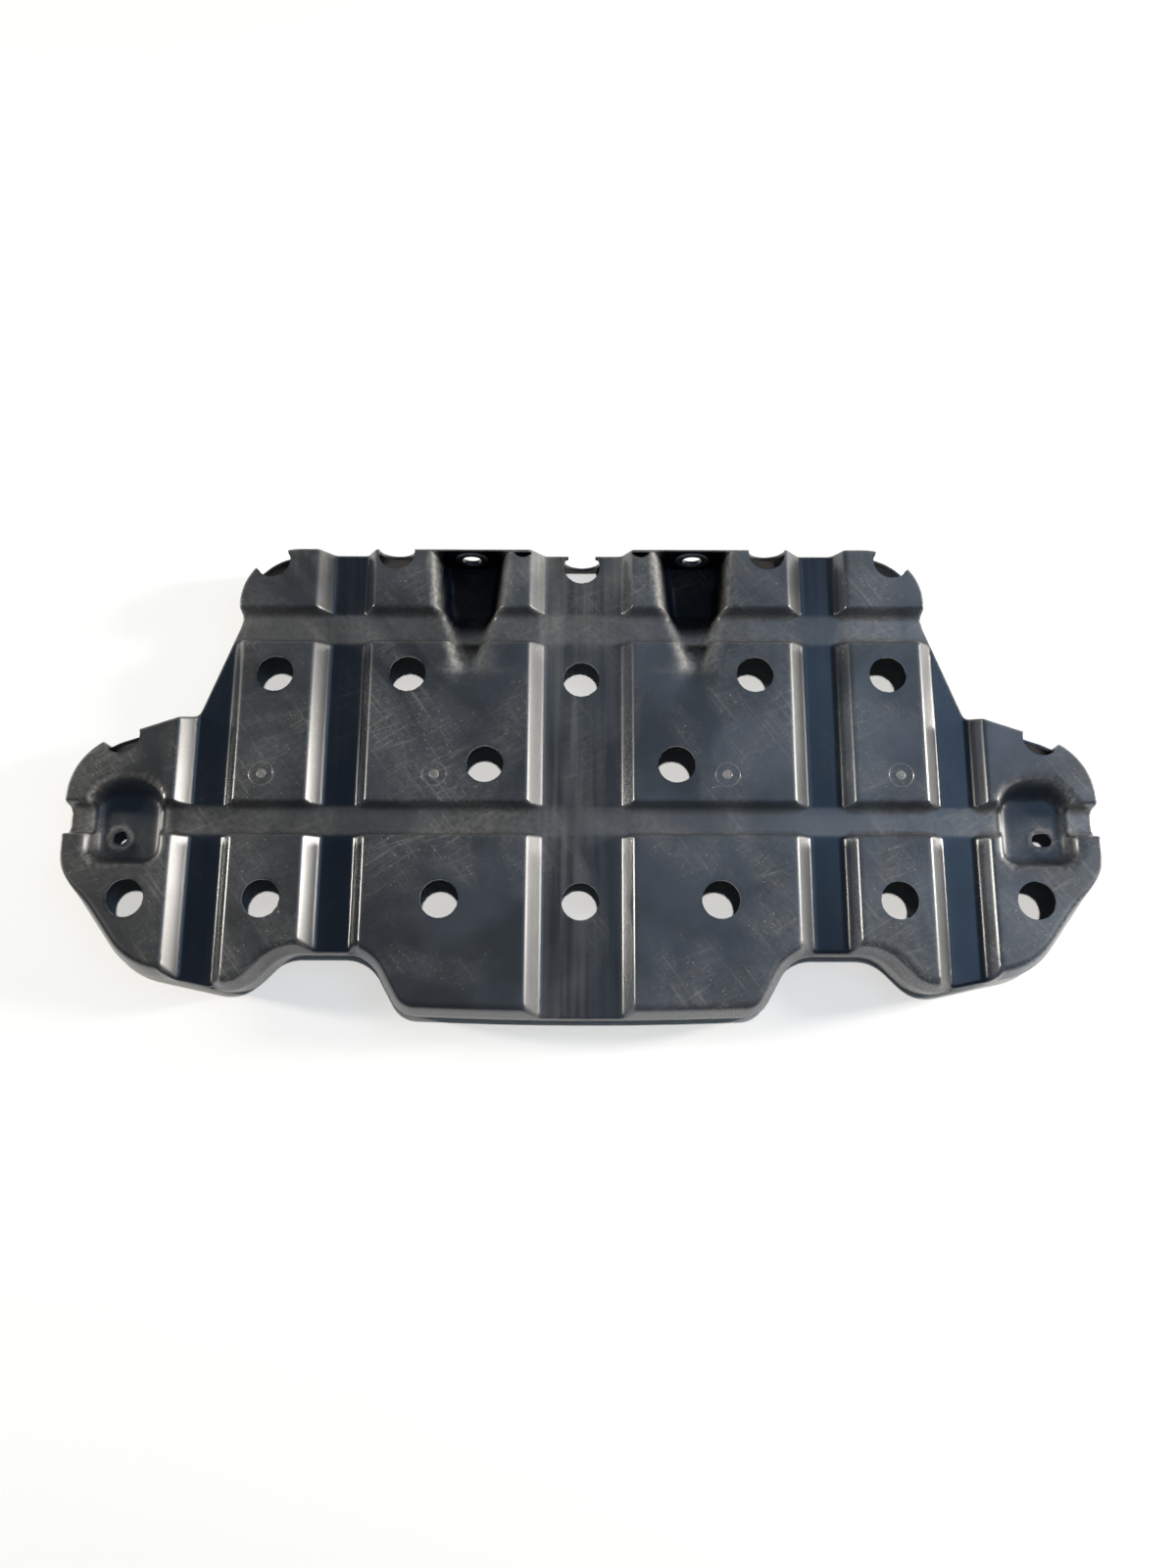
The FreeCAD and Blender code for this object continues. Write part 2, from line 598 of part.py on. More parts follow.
cutters_middle = fuse("cutters_middle", [
    hole("hole_a_middle", "0", "row_a_y"),
    hole("hole_c_middle", "0", "- row_c_y"),
    hole("notch_middle", "0", "notch_mid_y", "height - channel_depth - wall - 1"),
    cylinder("scallop_middle", "0", "half_depth - wall - 0.5", "height - scallop_mid_drop",
             "hole_radius", "wall + 3", "rear"),
])

# The left cup has a round bolt hole and the right cup a slot.
left_bolt_hole = cylinder("left_bolt_hole", "- cup_bolt_x", "- cup_bolt_y",
                          "height - cup_depth - wall - 3", "cup_bolt_radius", "wall + 9")
slot_ends = [
    cylinder("slot_end_in", "cup_bolt_x - slot_length*0.5 + slot_half_width", "- cup_bolt_y",
             "height - cup_depth - wall - 3", "slot_half_width", "wall + 9"),
    cylinder("slot_end_out", "cup_bolt_x + slot_length*0.5 - slot_half_width", "- cup_bolt_y",
             "height - cup_depth - wall - 3", "slot_half_width", "wall + 9"),
]
slot_middle = doc.addObject("Part::Box", "slot_middle")
for prop, text in (("Length", "slot_length - slot_half_width*2"), ("Width", "slot_half_width*2"),
                   ("Height", "wall + 9")):
    slot_middle.setExpression(prop, formula_of(text))
for prop, text in (("x", "cup_bolt_x - slot_length*0.5 + slot_half_width"),
                   ("y", "- cup_bolt_y - slot_half_width"),
                   ("z", "height - cup_depth - wall - 3")):
    slot_middle.setExpression("Placement.Base." + prop, formula_of(text))
right_slot = fuse("right_slot", slot_ends + [slot_middle])
doc.recompute()

panel = cut("shield_panel", cut("panel_d", cut("panel_c", cut("panel_b", cut(
    "panel_a", full_skin, cutters_middle), cutters_right), cutters_left), left_bolt_hole), right_slot)
panel.Label = "shield panel"
doc.recompute()

# Nothing is written unless every object and the panel are sound.
for item in doc.Objects:
    state = " ".join(item.State)
    if "Invalid" in state or "Error" in state:
        raise RuntimeError("not built: " + item.Name)
    if hasattr(item, "Shape") and (item.Shape.isNull() or not item.Shape.isValid()):
        raise RuntimeError("bad shape: " + item.Name)
if len(panel.Shape.Solids) != 1 or not panel.Shape.Volume < skin.Shape.Volume:
    raise RuntimeError("the panel is not one open solid")
print("panel", round(panel.Shape.Volume / 1000, 1), "cm3,", len(panel.Shape.Faces), "faces")
panel.Shape.exportStep("parts/shield_panel.step")
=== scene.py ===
# %% [markdown]
# # Engine splash shield
# The real object is one black plastic panel, moulded in a single shot. It has raised pads with
# channels and grooves between them, two troughs for a spanner, two bolt cups, many round holes
# and an edge that is turned down all round. The CAD panel has its true sizes. One could bevel
# it and smooth it with modifiers, but light runs along every rounded corner of this part, and
# on a coarse mesh it breaks into facets. So a finer skin is worked out with numpy and takes
# the place of the CAD panel.

# %% Load the CAD panel
import math

import bpy
import numpy as np
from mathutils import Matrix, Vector
from mathutils.geometry import delaunay_2d_cdt


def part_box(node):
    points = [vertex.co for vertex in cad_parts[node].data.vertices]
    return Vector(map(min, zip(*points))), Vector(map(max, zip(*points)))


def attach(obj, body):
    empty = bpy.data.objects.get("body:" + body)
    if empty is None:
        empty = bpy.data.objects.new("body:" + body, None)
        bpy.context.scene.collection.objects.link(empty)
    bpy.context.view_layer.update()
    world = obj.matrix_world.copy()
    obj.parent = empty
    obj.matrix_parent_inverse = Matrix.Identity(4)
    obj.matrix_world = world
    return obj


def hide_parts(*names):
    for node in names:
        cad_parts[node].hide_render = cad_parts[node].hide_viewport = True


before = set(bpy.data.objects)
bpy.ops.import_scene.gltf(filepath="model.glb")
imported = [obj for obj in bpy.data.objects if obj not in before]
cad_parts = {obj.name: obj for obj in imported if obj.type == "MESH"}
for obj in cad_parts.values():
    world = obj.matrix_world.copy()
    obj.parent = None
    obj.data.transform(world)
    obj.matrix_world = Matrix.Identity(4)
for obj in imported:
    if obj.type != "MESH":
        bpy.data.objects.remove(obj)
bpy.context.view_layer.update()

# %% [markdown]
# ## Sizes
# All sizes are in millimetres, as in the CAD source, with X to the right, Y to the rear and Z
# up. The width and the depth are read from the CAD panel, so that the skin can't grow past it.
# A mesh in metres is made only at the very end, because whole millimetres are easier to read.

# %% Main sizes
low_corner, high_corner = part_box("shield_panel")
HALF_WIDTH = round(high_corner[0] * 1000, 2)
HALF_DEPTH = round(high_corner[1] * 1000, 2)
TOP = 48.0  # level of the pads
WALL = 3.0  # thickness of the moulded skin
DROP = 15.0  # depth of the channels and grooves
print("half width", HALF_WIDTH, "half depth", HALF_DEPTH)

# %% [markdown]
# ## The outline
# Seen from above, the panel is a polygon: a front block whose edge bows a little, a bay beside
# it, a lobe that holds a bolt cup, and a narrower rear part. Its corners are rounded with very
# different radii. A Bezier curve drawn by hand could follow it, but the edge of the skin has to
# stay on the edge of the CAD panel, so every corner gets an exact arc.

# %% Corners of the outline
BOW_AHEAD = 1.632  # the two front sides would cross this far ahead of the panel
corners = [(0.0, -HALF_DEPTH - BOW_AHEAD, 3033.75), (147.2, -199.05, 24),  # front block
           (175.0, -149.3, 34), (245.5, -149.3, 34),  # bay
           (279.0, -182.8, 32), (373.5, -162.8, 65),  # front of the lobe
           (HALF_WIDTH, -86.0, 70), (HALF_WIDTH, 19.0, 56),  # end of the lobe
           (329.0, 52.8, 8), (296.5, 140.0, 50), (296.5, HALF_DEPTH, 50)]  # waist and rear part
corners += [(-x, y, radius) for x, y, radius in corners[:0:-1]]
print("corners", len(corners))

# %% One arc for each corner
ARC_STEP = 0.7


def corner_arc(last, here, following, radius):
    """Points on the arc that touches both sides of a corner.

    Its centre lies on the line that halves the corner, radius / sin(half the corner) away from
    it, and it touches each side radius / tan(half the corner) away from it.
    """
    to_last, to_next = last - here, following - here
    to_last /= np.hypot(*to_last)
    to_next /= np.hypot(*to_next)
    half = math.acos(np.clip(to_last @ to_next, -1, 1)) / 2
    middle = (to_last + to_next) / np.hypot(*(to_last + to_next))
    centre = here + middle * radius / math.sin(half)
    reach = radius / math.tan(half)
    start, end = here + to_last * reach - centre, here + to_next * reach - centre
    turn = math.atan2(start[0] * end[1] - start[1] * end[0], start @ end)
    count = max(int(abs(turn) * radius / ARC_STEP), 6)
    angle = math.atan2(start[1], start[0]) + turn * np.linspace(0, 1, count)
    return centre + radius * np.stack([np.cos(angle), np.sin(angle)], 1)


places = np.array([corner[:2] for corner in corners])
edge = np.concatenate([corner_arc(places[i - 1], places[i], places[(i + 1) % len(places)], corners[i][2])
                       for i in range(len(corners))])
print("outline points", len(edge), "span", edge.min(0), edge.max(0))

# %% [markdown]
# The pads end a little inside the outline, so we need to know how far inside it a point lies.
# Blender can measure that point by point with a tree of the edge, but a whole array at once is
# simple too. The nearest of all short sides of the outline gives the distance, and the side of
# it on which the point lies gives the sign.

# %% Distance from the outline
edge_next = np.roll(edge, -1, axis=0)
on_right = (edge[:, 0] > -1) | (edge_next[:, 0] > -1)
side_start = edge[on_right]
side_step = edge_next[on_right] - side_start


def inside_distance(x, y, batch=3000):
    """Distance to the outline, positive inside. The panel is symmetric, so |x| is enough.

    The nearest point of a side is the foot of the perpendicular on it, held between its ends.
    """
    result = np.empty(len(x))
    for low in range(0, len(x), batch):
        here = np.stack([np.abs(x[low:low + batch]), y[low:low + batch]], 1)[:, None] - side_start
        share = np.clip((here * side_step).sum(2) / (side_step ** 2).sum(1), 0, 1)
        gap = here - share[..., None] * side_step
        distance = np.hypot(gap[..., 0], gap[..., 1])
        nearest = distance.argmin(1)
        along = side_step[nearest]
        there = here[np.arange(len(nearest)), nearest]
        sign = np.sign(along[:, 0] * there[:, 1] - along[:, 1] * there[:, 0])
        result[low:low + batch] = distance.min(1) * sign
    return result


print("the middle lies", inside_distance(np.zeros(1), np.zeros(1))[0], "mm inside")

# %% [markdown]
# ## Walls of the channels and grooves
# Channels from front to rear and grooves across stiffen the real panel. Extruded faces with a
# bevel would do, but every point of the top has just one height, so the whole relief can be a
# function of x and y, and its arcs are exact. A wall is a straight slope with an arc at its lip
# and another at its foot, and these two arcs are what catches the light.

# %% Profile of a wall
def rounded_step(s, run, depth, lip_radius, foot_radius):
    """Falls from 0 to depth while s goes from 0 to run, with an arc at the lip and at the foot.

    An arc meets the level surface radius * tan(half the slope angle) away from the corner.
    """
    angle = np.arctan2(depth, run)
    lip_reach, foot_reach = lip_radius * np.tan(angle / 2), foot_radius * np.tan(angle / 2)
    past = np.clip(s + lip_reach, 0, lip_radius * np.sin(angle))
    left = np.clip(run + foot_reach - s, 0, foot_radius * np.sin(angle))
    lip = lip_radius - np.sqrt(lip_radius ** 2 - past ** 2)
    foot = foot_radius - np.sqrt(foot_radius ** 2 - left ** 2)
    return np.where(s < lip_reach * np.cos(angle), lip,
                    np.where(s < run - foot_reach * np.cos(angle), s * depth / run, depth - foot))


def trench(u, top_a, floor_a, floor_b, top_b, radii_a, radii_b):
    """Depth of a trench between two walls: the smaller of the two wall drops."""
    return np.minimum(rounded_step(u - top_a, floor_a - top_a, DROP, *radii_a),
                      rounded_step(top_b - u, top_b - floor_b, DROP, *radii_b))


print("depth half way down a wall", rounded_step(np.array(6.35), 12.7, DROP, 4.2, 5.5))

# %% [markdown]
# The real panel has a wide middle channel and two narrower ones on each side. Walls that face
# right lean more than the others, because in the photograph their band of light is as broad as
# the wall. The two outer channels stop in the rear groove. Where a channel and a groove cross,
# a plain maximum would leave a knife-sharp upright corner on the pad, so their depths are added
# as the sides of a rounded square are.

# %% Channels and grooves
CHANNELS = [(-45.0, 44.5), (179.4, 230.0), (-230.6, -180.0)]  # top corners, left and right
OUTER_CHANNELS = [(290.0, 340.0), (-340.5, -290.5)]
OUTER_END = 132.0
GROOVES = [(117.2, 121.4, 144.3, 147.8), (-51.9, -49.2, -27.6, -24.6)]
FACING_RIGHT, FACING_LEFT = 12.7, 9.5  # how far a channel wall leans
CORNER_POWER = 2.6


def channel(x, left, right):
    """A trench along Y whose left wall, the one that faces right, leans more."""
    return trench(x, left, left + FACING_RIGHT, right - FACING_LEFT, right, (4.2, 5.5), (3.4, 6.5))


def crossing_depth(x, y):
    """Depth below the pads: the sum of the powers of both depths, taken back to a depth."""
    along = np.maximum.reduce([channel(x, *tops) for tops in CHANNELS])
    outer = np.maximum.reduce([channel(x, *tops) for tops in OUTER_CHANNELS])
    along = np.maximum(along, np.where(y < OUTER_END, outer, 0))
    across = np.maximum.reduce([trench(y, *groove, (3.8, 5.5), (3.8, 5.5)) for groove in GROOVES])
    both = (along ** CORNER_POWER + across ** CORNER_POWER) ** (1 / CORNER_POWER)
    return np.minimum(both, DROP)


print("channels", len(CHANNELS) + len(OUTER_CHANNELS), "grooves", len(GROOVES))

# %% [markdown]
# ## Troughs
# A trough lets a spanner reach a bolt in the rear wall. A boolean with a wedge would cut one,
# but with a sharp lip, and the real lip is soft. As heights the two shapes blend: a trough is
# the highest of a floor and two leaning walls, all straight between three stations, so it is
# V-shaped in plan and runs out to a tip. A smooth minimum then joins it to the pads, and its
# width sets how soft the lip is.

# %% Height of a trough
STATIONS = (91.0, 151.0, 199.3)  # tip, middle and rear end, along Y
LIP_IN, LIP_OUT = (94, 70, 65), (103, 125, 129)
FLOOR_IN, FLOOR_OUT = (96, 81, 76), (101.5, 116, 121.5)
TROUGH_DEPTH = (1.5, 34, 36)
TIP_RISE = 0.6  # slope of the floor ahead of the tip


def smooth_min(a, b, width):
    """The smaller of two heights, blended by a parabola where they differ by less than width."""
    h = np.maximum(width - np.abs(a - b), 0) / width
    return np.minimum(a, b) - h * h * width / 4


def trough_height(x, y):
    """Highest of a trough's floor and its two leaning walls."""
    ax = np.abs(x)
    lip_in, lip_out = np.interp(y, STATIONS, LIP_IN), np.interp(y, STATIONS, LIP_OUT)
    floor_in, floor_out = np.interp(y, STATIONS, FLOOR_IN), np.interp(y, STATIONS, FLOOR_OUT)
    depth = np.interp(y, STATIONS, TROUGH_DEPTH)
    floor = TOP - depth + np.maximum(STATIONS[0] - y, 0) * TIP_RISE
    wall_in = TOP - depth * (ax - lip_in) / (floor_in - lip_in)
    wall_out = TOP - depth * (lip_out - ax) / (lip_out - floor_out)
    walls = -smooth_min(-wall_in, -wall_out, 6.0)
    return -smooth_min(-floor, -walls, 7.0)


print("trough floor at its rear end", float(trough_height(98.0, STATIONS[-1])))

# %% [markdown]
# ## Bolt cups
# In each lobe sits a cup whose floor carries a round seat for a bolt. A cup is a rounded
# rectangle with tight corners in front and wide ones at the rear, where its wall slopes more.
# Seen from above, the distance from its rim tells how far down its wall a point lies. That is
# shorter than a loft between two outlines and gives the arcs at lip and foot as well.

# %% Depth of a cup
CUP_X, CUP_HALF = 379.8, 31.8
CUP_FRONT, CUP_REAR = -77.65, -1.65
CUP_DEPTH = 20.0
FRONT_CORNER, REAR_CORNER = 15.0, 27.0
BOLT_X, BOLT_Y = 388.0, -52.5
SEAT_RADIUS, SEAT_RISE = 11.4, 1.2


def cup_depth(x, y):
    """Depth of a bolt cup, with a wide sloping rear wall and a round seat for the bolt."""
    ax = np.abs(x)
    side = CUP_HALF - np.abs(ax - CUP_X)
    front, rear = y - CUP_FRONT, CUP_REAR - y
    radius = np.where(front < rear, FRONT_CORNER, REAR_CORNER)
    out_x = np.maximum(radius - side, 0)
    out_y = np.maximum(radius - np.minimum(front, rear), 0)
    out = np.hypot(out_x, out_y)
    turned_back = np.where(front < rear, 0, out_y / np.maximum(out, 1e-6))
    run = 7.5 + 9.0 * turned_back ** 2
    depth = rounded_step(radius - out, run, CUP_DEPTH, 4.5, 7.0)
    from_bolt = np.hypot(ax - BOLT_X, y - BOLT_Y)
    on_floor = depth > 0.75 * CUP_DEPTH
    return depth - SEAT_RISE * np.clip((SEAT_RADIUS - from_bolt) / SEAT_RISE, 0, 1) * on_floor


print("depth at the bolt", float(cup_depth(np.array(BOLT_X), np.array(BOLT_Y))))

# %% [markdown]
# ## The top and the hidden side
# Pads, channels, troughs and cups come together in one height. The real panel isn't quite flat,
# as its reflections show, and a slow wave of two sines brings that in without any random draw.
# The hidden side repeats the top one wall lower. Moving it straight down would make the walls
# of the channels too thin, so the drop grows with the slope.

# %% Height of the top
TROUGH_BLEND, CUP_BLEND = 15.0, 3.0
CUP_FLOOR_LIFT = 0.75  # the floor of a cup lies this much above the foot of its wall


def warp(x, y):
    """A slow waviness: a product of two sines and a finer slanting one, half a millimetre in all."""
    slow = np.sin(x / 41.0 + 0.7) * np.sin(y / 33.0 + 1.1) + 0.6 * np.sin(x / 17.0 + y / 23.0)
    return 0.16 * (slow - 1.6)


def top_height(x, y, troughs=True):
    """The pads less the channels, then the smooth minimum with the troughs and the cups."""
    z = TOP - crossing_depth(x, y)
    if troughs:
        z = np.where(y > 60, smooth_min(z, trough_height(x, y), TROUGH_BLEND), z)
    cup = cup_depth(x, y)
    lifted = smooth_min(z, TOP - cup, CUP_BLEND) + CUP_FLOOR_LIFT * (cup > CUP_DEPTH - 1)
    return np.where(cup > 0.01, lifted, z) + warp(x, y)


def under_height(x, y, step=0.4):
    """The top lowered by the wall, which is measured square to the slope."""
    slope_x = (top_height(x + step, y) - top_height(x - step, y)) / (2 * step)
    slope_y = (top_height(x, y + step) - top_height(x, y - step)) / (2 * step)
    return top_height(x, y) - WALL * np.minimum(np.sqrt(1 + slope_x ** 2 + slope_y ** 2), 2.2)


probe_x, probe_y = np.array([100.0, 0.0, 205.0, 98.0]), np.array([40.0, 40.0, 40.0, 190.0])
print("pad, middle channel, channel, trough", top_height(probe_x, probe_y).round(2))

# %% [markdown]
# ## Grid lines where they are needed
# A flat pad needs few points and a rounded wall needs many. An even grid fine enough for the
# walls would take this piece far past 200,000 triangles. Instead we say how close the lines
# should be at each place, add that up and read off equal shares, and the lines crowd together
# in the walls.

# %% Spacing of the grid
COARSE_X, COARSE_Y = 5.8, 6.0
ZONES_X = [(28, 48, 1.6), (60, 134, 3.2), (176.5, 196, 1.6), (214, 233, 1.6), (287, 307, 1.6),
           (324, 343, 1.6), (345, 414, 2.5)]  # from, to and distance: walls, trough, cup
ZONES_Y = [(112.5, 126.5, 1.3), (139, 152, 1.3), (-56, -45, 1.3), (-32, -20, 1.3), (-80, 0, 2.5),
           (80, 203, 3.8)]


def spacing(u, zones, coarse):
    """Distance between lines at u: the finest of the zones that hold u, else coarse."""
    result = np.full(np.shape(u), coarse)
    for low, high, fine in zones:
        result = np.where((u > low) & (u < high), np.minimum(result, fine), result)
    return result


def space_x(x):
    """Distance between the lines along Y, the same on the left and on the right."""
    return spacing(np.abs(x), ZONES_X, COARSE_X)


def space_y(y):
    """Distance between the lines along X."""
    return spacing(y, ZONES_Y, COARSE_Y)


print("spacing on a pad and in a wall", space_x(150.0), space_x(40.0))


# %% Grid lines
def grid_lines(low, high, space):
    """Positions whose gaps follow the wanted spacing: equal shares of its running sum."""
    fine = np.linspace(low, high, 20001)
    total = np.concatenate([[0], np.cumsum(1 / space((fine[1:] + fine[:-1]) / 2))])
    count = int(total[-1] * (fine[1] - fine[0])) + 1
    return np.interp(np.linspace(0, total[-1], count), total, fine)


half_x = grid_lines(0.0, HALF_WIDTH, space_x)
grid_x = np.concatenate([-half_x[:0:-1], half_x])
grid_y = grid_lines(-HALF_DEPTH, HALF_DEPTH, space_y)
print("grid lines", len(grid_x), len(grid_y))

# %% [markdown]
# ## The turned-down edge
# Round the outline runs a band, from the top over a rounded edge and down the wall. At the
# front the wall leans and its edge is soft, elsewhere it is upright with a small edge. A bevel
# has one width all round, but a profile carried along a path can change on its way. Each column
# of the band is a step along the outline, and each row is a step of the profile. First the
# columns: they crowd together where the grid lines do, so that both nets fit at the seam.

# %% A fine path round the outline
side_vector = edge_next - edge
side_length = np.hypot(side_vector[:, 0], side_vector[:, 1])
parts = np.maximum((side_length / ARC_STEP).astype(int), 1)
which_side = np.repeat(np.arange(len(parts)), parts)
share_of_side = np.concatenate([np.arange(n) / n for n in parts])
path = edge[which_side] + side_vector[which_side] * share_of_side[:, None]
closed_path = np.concatenate([path, path[:1]])
print("path points", len(path), "length", side_length.sum())

# %% Columns of the band
COLUMN_GAP = 14.0  # widest gap between columns
LOOK_ASIDE = 0.15  # share of a column over which the direction is taken
path_step = np.diff(closed_path, axis=0)
passed = (np.abs(path_step[:, 0]) / space_x(path[:, 0]) + np.abs(path_step[:, 1]) / space_y(path[:, 1])
          + np.hypot(path_step[:, 0], path_step[:, 1]) / COLUMN_GAP)
running = np.concatenate([[0], np.cumsum(passed)])
columns = int(running[-1])
at = np.linspace(0, running[-1], columns, endpoint=False)


def on_path(place):
    """Points of the path at the places where its running sum has these values."""
    return np.stack([np.interp(place % running[-1], running, closed_path[:, k]) for k in (0, 1)], 1)


base = on_path(at)
way = on_path(at + LOOK_ASIDE) - on_path(at - LOOK_ASIDE)
way /= np.hypot(way[:, 0], way[:, 1])[:, None]
outward = np.stack([way[:, 1], -way[:, 0]], 1)
print("columns", columns)

# %% [markdown]
# Each column now gets the sizes of its own profile. A share called front is 0 behind and 1
# along the front, with a soft S between them, and everything that is different at the front
# grows with it: how far the wall leans, how soft the edge is, and how far in the band begins.

# %% Profile of each column
SLOPE_FOOT, SLOPE_RUN = 29.0, 7.0  # where the leaning front wall ends, and how far it leans
FRONT_FROM, FRONT_FULL = 75.0, 120.0  # the front begins this far ahead of the middle
BAND_WIDTH, FRONT_EXTRA = 4.2, 11.3


def soft(u, low, high):
    """0 below low and 1 above high, with an S between them: 3 t squared minus 2 t cubed."""
    t = np.clip((u - low) / (high - low), 0, 1)
    return t * t * (3 - 2 * t)


def at_inset(inset):
    """Points this far inside the outline, one for each column."""
    return base[:, 0] - outward[:, 0] * inset, base[:, 1] - outward[:, 1] * inset


front = soft(-base[:, 1], FRONT_FROM, FRONT_FULL)
lean = SLOPE_RUN * front
begin = BAND_WIDTH + FRONT_EXTRA * front
level = top_height(*at_inset(begin), troughs=False)
on_pad = np.clip((level - (TOP - DROP)) / DROP, 0, 1)
edge_radius = (2.0 + 2.0 * front) + 4.0 * front * on_pad
edge_angle = np.arctan2(TOP - SLOPE_FOOT, lean)
edge_inset = lean * np.clip((level - SLOPE_FOOT) / (TOP - SLOPE_FOOT), 0, 1)
reach = edge_radius * np.tan(edge_angle / 2)
print("edge radius", edge_radius.min().round(2), "to", edge_radius.max().round(2))

# %% Rows on the top
rows_out, rows_in = [], []


def add_row(inset, z, phi, floor=None):
    """One row of the outer skin and the matching row of the hidden side.

    The surface has turned by phi there, so the hidden point lies WALL * sin(phi) further in
    and WALL * cos(phi) lower, and never above the hidden side of the top. Where floor is given,
    the hidden point lies at that height.
    """
    x, y = at_inset(inset)
    rows_out.append(np.stack([x, y, z], 1))
    x, y = at_inset(inset + WALL * np.sin(phi))
    low = np.minimum(z - WALL * np.cos(phi), under_height(x, y))
    rows_in.append(np.stack([x, y, np.maximum(low, 0.0) if floor is None else low * 0 + floor], 1))


def near_edge(share_in):
    """A place on the top, this share of the way from the rounded edge to where the band begins."""
    inset = edge_inset + reach + (begin - edge_inset - reach) * share_in
    x, y = at_inset(inset)
    return inset, np.where(inset > WALL, top_height(x, y), top_height(x, y, troughs=False))


level_turn, upright_turn = np.zeros(columns), np.full(columns, math.pi / 2)
add_row(*near_edge(1.0), level_turn)
(inset_a, z_a), (inset_b, z_b) = near_edge(0.6), near_edge(0.25)
for part in np.linspace(0, 1, 8):
    add_row(inset_a + (inset_b - inset_a) * part, z_a + (z_b - z_a) * part, level_turn)
print("rows on top", len(rows_out))

# %% [markdown]
# The rounded edge is an arc that starts level and turns by phi, up to the angle of the wall. It
# hangs from the height of the top above it, so that a channel that runs out over the edge keeps
# its floor right up to the arc.

# %% Rows round the edge
for part in np.linspace(0, 1, 6):
    phi = edge_angle * part
    inset = edge_inset + reach - edge_radius * np.sin(phi)
    z = top_height(*at_inset(inset), troughs=False) - edge_radius * (1 - np.cos(phi))
    add_row(inset, z, phi)
print("rows so far", len(rows_out))

# %% [markdown]
# Below the rounded edge the wall goes straight to the foot of the slope, and from there
# upright to the floor. The lowest rows of the hidden side stay level with the outer ones, so
# that the panel stands on a flat rim.

# %% Rows down the wall
WALL_ROWS = (24.0, 18.5, 13.0, 8.5, 4.0, 0.0)
LEVEL_BELOW = 9.0
end_inset, end_z = inset, z
for part in (0.33, 0.67, 1.0):
    turned = edge_angle if part < 1 else (edge_angle + math.pi / 2) / 2
    add_row(end_inset * (1 - part), end_z * (1 - part) + SLOPE_FOOT * part, turned)
on_outline = np.zeros(columns)
for height in WALL_ROWS:
    floor = height if height < LEVEL_BELOW else None
    add_row(on_outline, np.full(columns, height), upright_turn, floor)
print("rows", len(rows_out))

# %% [markdown]
# ## Joining the grid to the band
# Inside the first row of the band the grid points are kept. A boolean or a bridge between the
# two nets would leave thin leftovers. A constrained Delaunay triangulation joins them with
# well-shaped triangles. It is a function of Blender's own geometry library, works in plan, and
# keeps the order of its points, so the first ones are still the columns of the band.

# %% Triangulate the top
SEAM_GAP = 1.1  # the grid keeps this far from the band
gx, gy = [g.ravel() for g in np.meshgrid(grid_x, grid_y)]
toward_front = np.clip((-gy - FRONT_FROM) / (FRONT_FULL - FRONT_FROM), 0, 1)
keep = inside_distance(gx, gy) > BAND_WIDTH + FRONT_EXTRA * toward_front + SEAM_GAP
ring = np.arange(columns)
seam = np.stack([ring, np.roll(ring, -1)], 1)
plan = np.concatenate([rows_out[0][:, :2], np.stack([gx[keep], gy[keep]], 1)])
found = delaunay_2d_cdt(plan.tolist(), seam.tolist(), [], 1, 1e-5)
flat, top_faces = np.array(found[0]), np.array(found[2])
print("top points", len(flat), "of", len(plan), "triangles", len(top_faces))

# %% [markdown]
# A cell of the grid can be split along either of its diagonals, and the triangulation picks one
# at random. The normals of the points then tremble a little, which a long highlight on a wall
# shows as dashes. So every whole cell is split again, always along the same diagonal.

# %% One diagonal for all cells
def grid_index(u, line_places):
    """Number of the grid line at u."""
    return np.rint(np.interp(u, line_places, np.arange(len(line_places)))).astype(int)


col, row = grid_index(flat[:, 0], grid_x), grid_index(flat[:, 1], grid_y)
on_grid = np.arange(len(flat)) >= columns
number = np.full((len(grid_y), len(grid_x)), -1)
number[row[on_grid], col[on_grid]] = np.flatnonzero(on_grid)
face_col, face_row = col[top_faces], row[top_faces]
half_cell = on_grid[top_faces].all(1)
half_cell &= (np.ptp(face_col, axis=1) == 1) & (np.ptp(face_row, axis=1) == 1)
cell = face_row.min(1) * len(grid_x) + face_col.min(1)
cells, seen = np.unique(cell[half_cell], return_counts=True)
whole = cells[seen == 2]
low_row, low_col = np.divmod(whole, len(grid_x))
p, q = number[low_row, low_col], number[low_row, low_col + 1]
r, s = number[low_row + 1, low_col + 1], number[low_row + 1, low_col]
others = top_faces[~(half_cell & np.isin(cell, whole))]
top_faces = np.concatenate([others, np.stack([p, q, r], 1), np.stack([p, r, s], 1)])
print("cells split again", len(whole))

# %% [markdown]
# Top and band now become one net. The first row of the band is the seam and is already among
# the points of the top, so only the rows after it are added. Between two rows, every column
# makes a four-sided cell of two triangles, with its front outwards. The hidden side has the
# same triangles on its own points.

# %% Top and band in one net
flat_x, flat_y = flat[:, 0], flat[:, 1]
outer = np.concatenate([np.column_stack([flat, top_height(flat_x, flat_y)])] + rows_out[1:])
inner = np.concatenate([np.column_stack([flat, under_height(flat_x, flat_y)])] + rows_in[1:])
ids = np.vstack([ring] + [len(flat) + k * columns + ring for k in range(len(rows_out) - 1)])
a, b = ids[:-1], np.roll(ids[:-1], -1, axis=1)
c, d = np.roll(ids[1:], -1, axis=1), ids[1:]
band = [np.stack([a, d, c], -1).reshape(-1, 3), np.stack([a, c, b], -1).reshape(-1, 3)]
faces = np.concatenate([top_faces] + band)
print("skin triangles", len(faces))

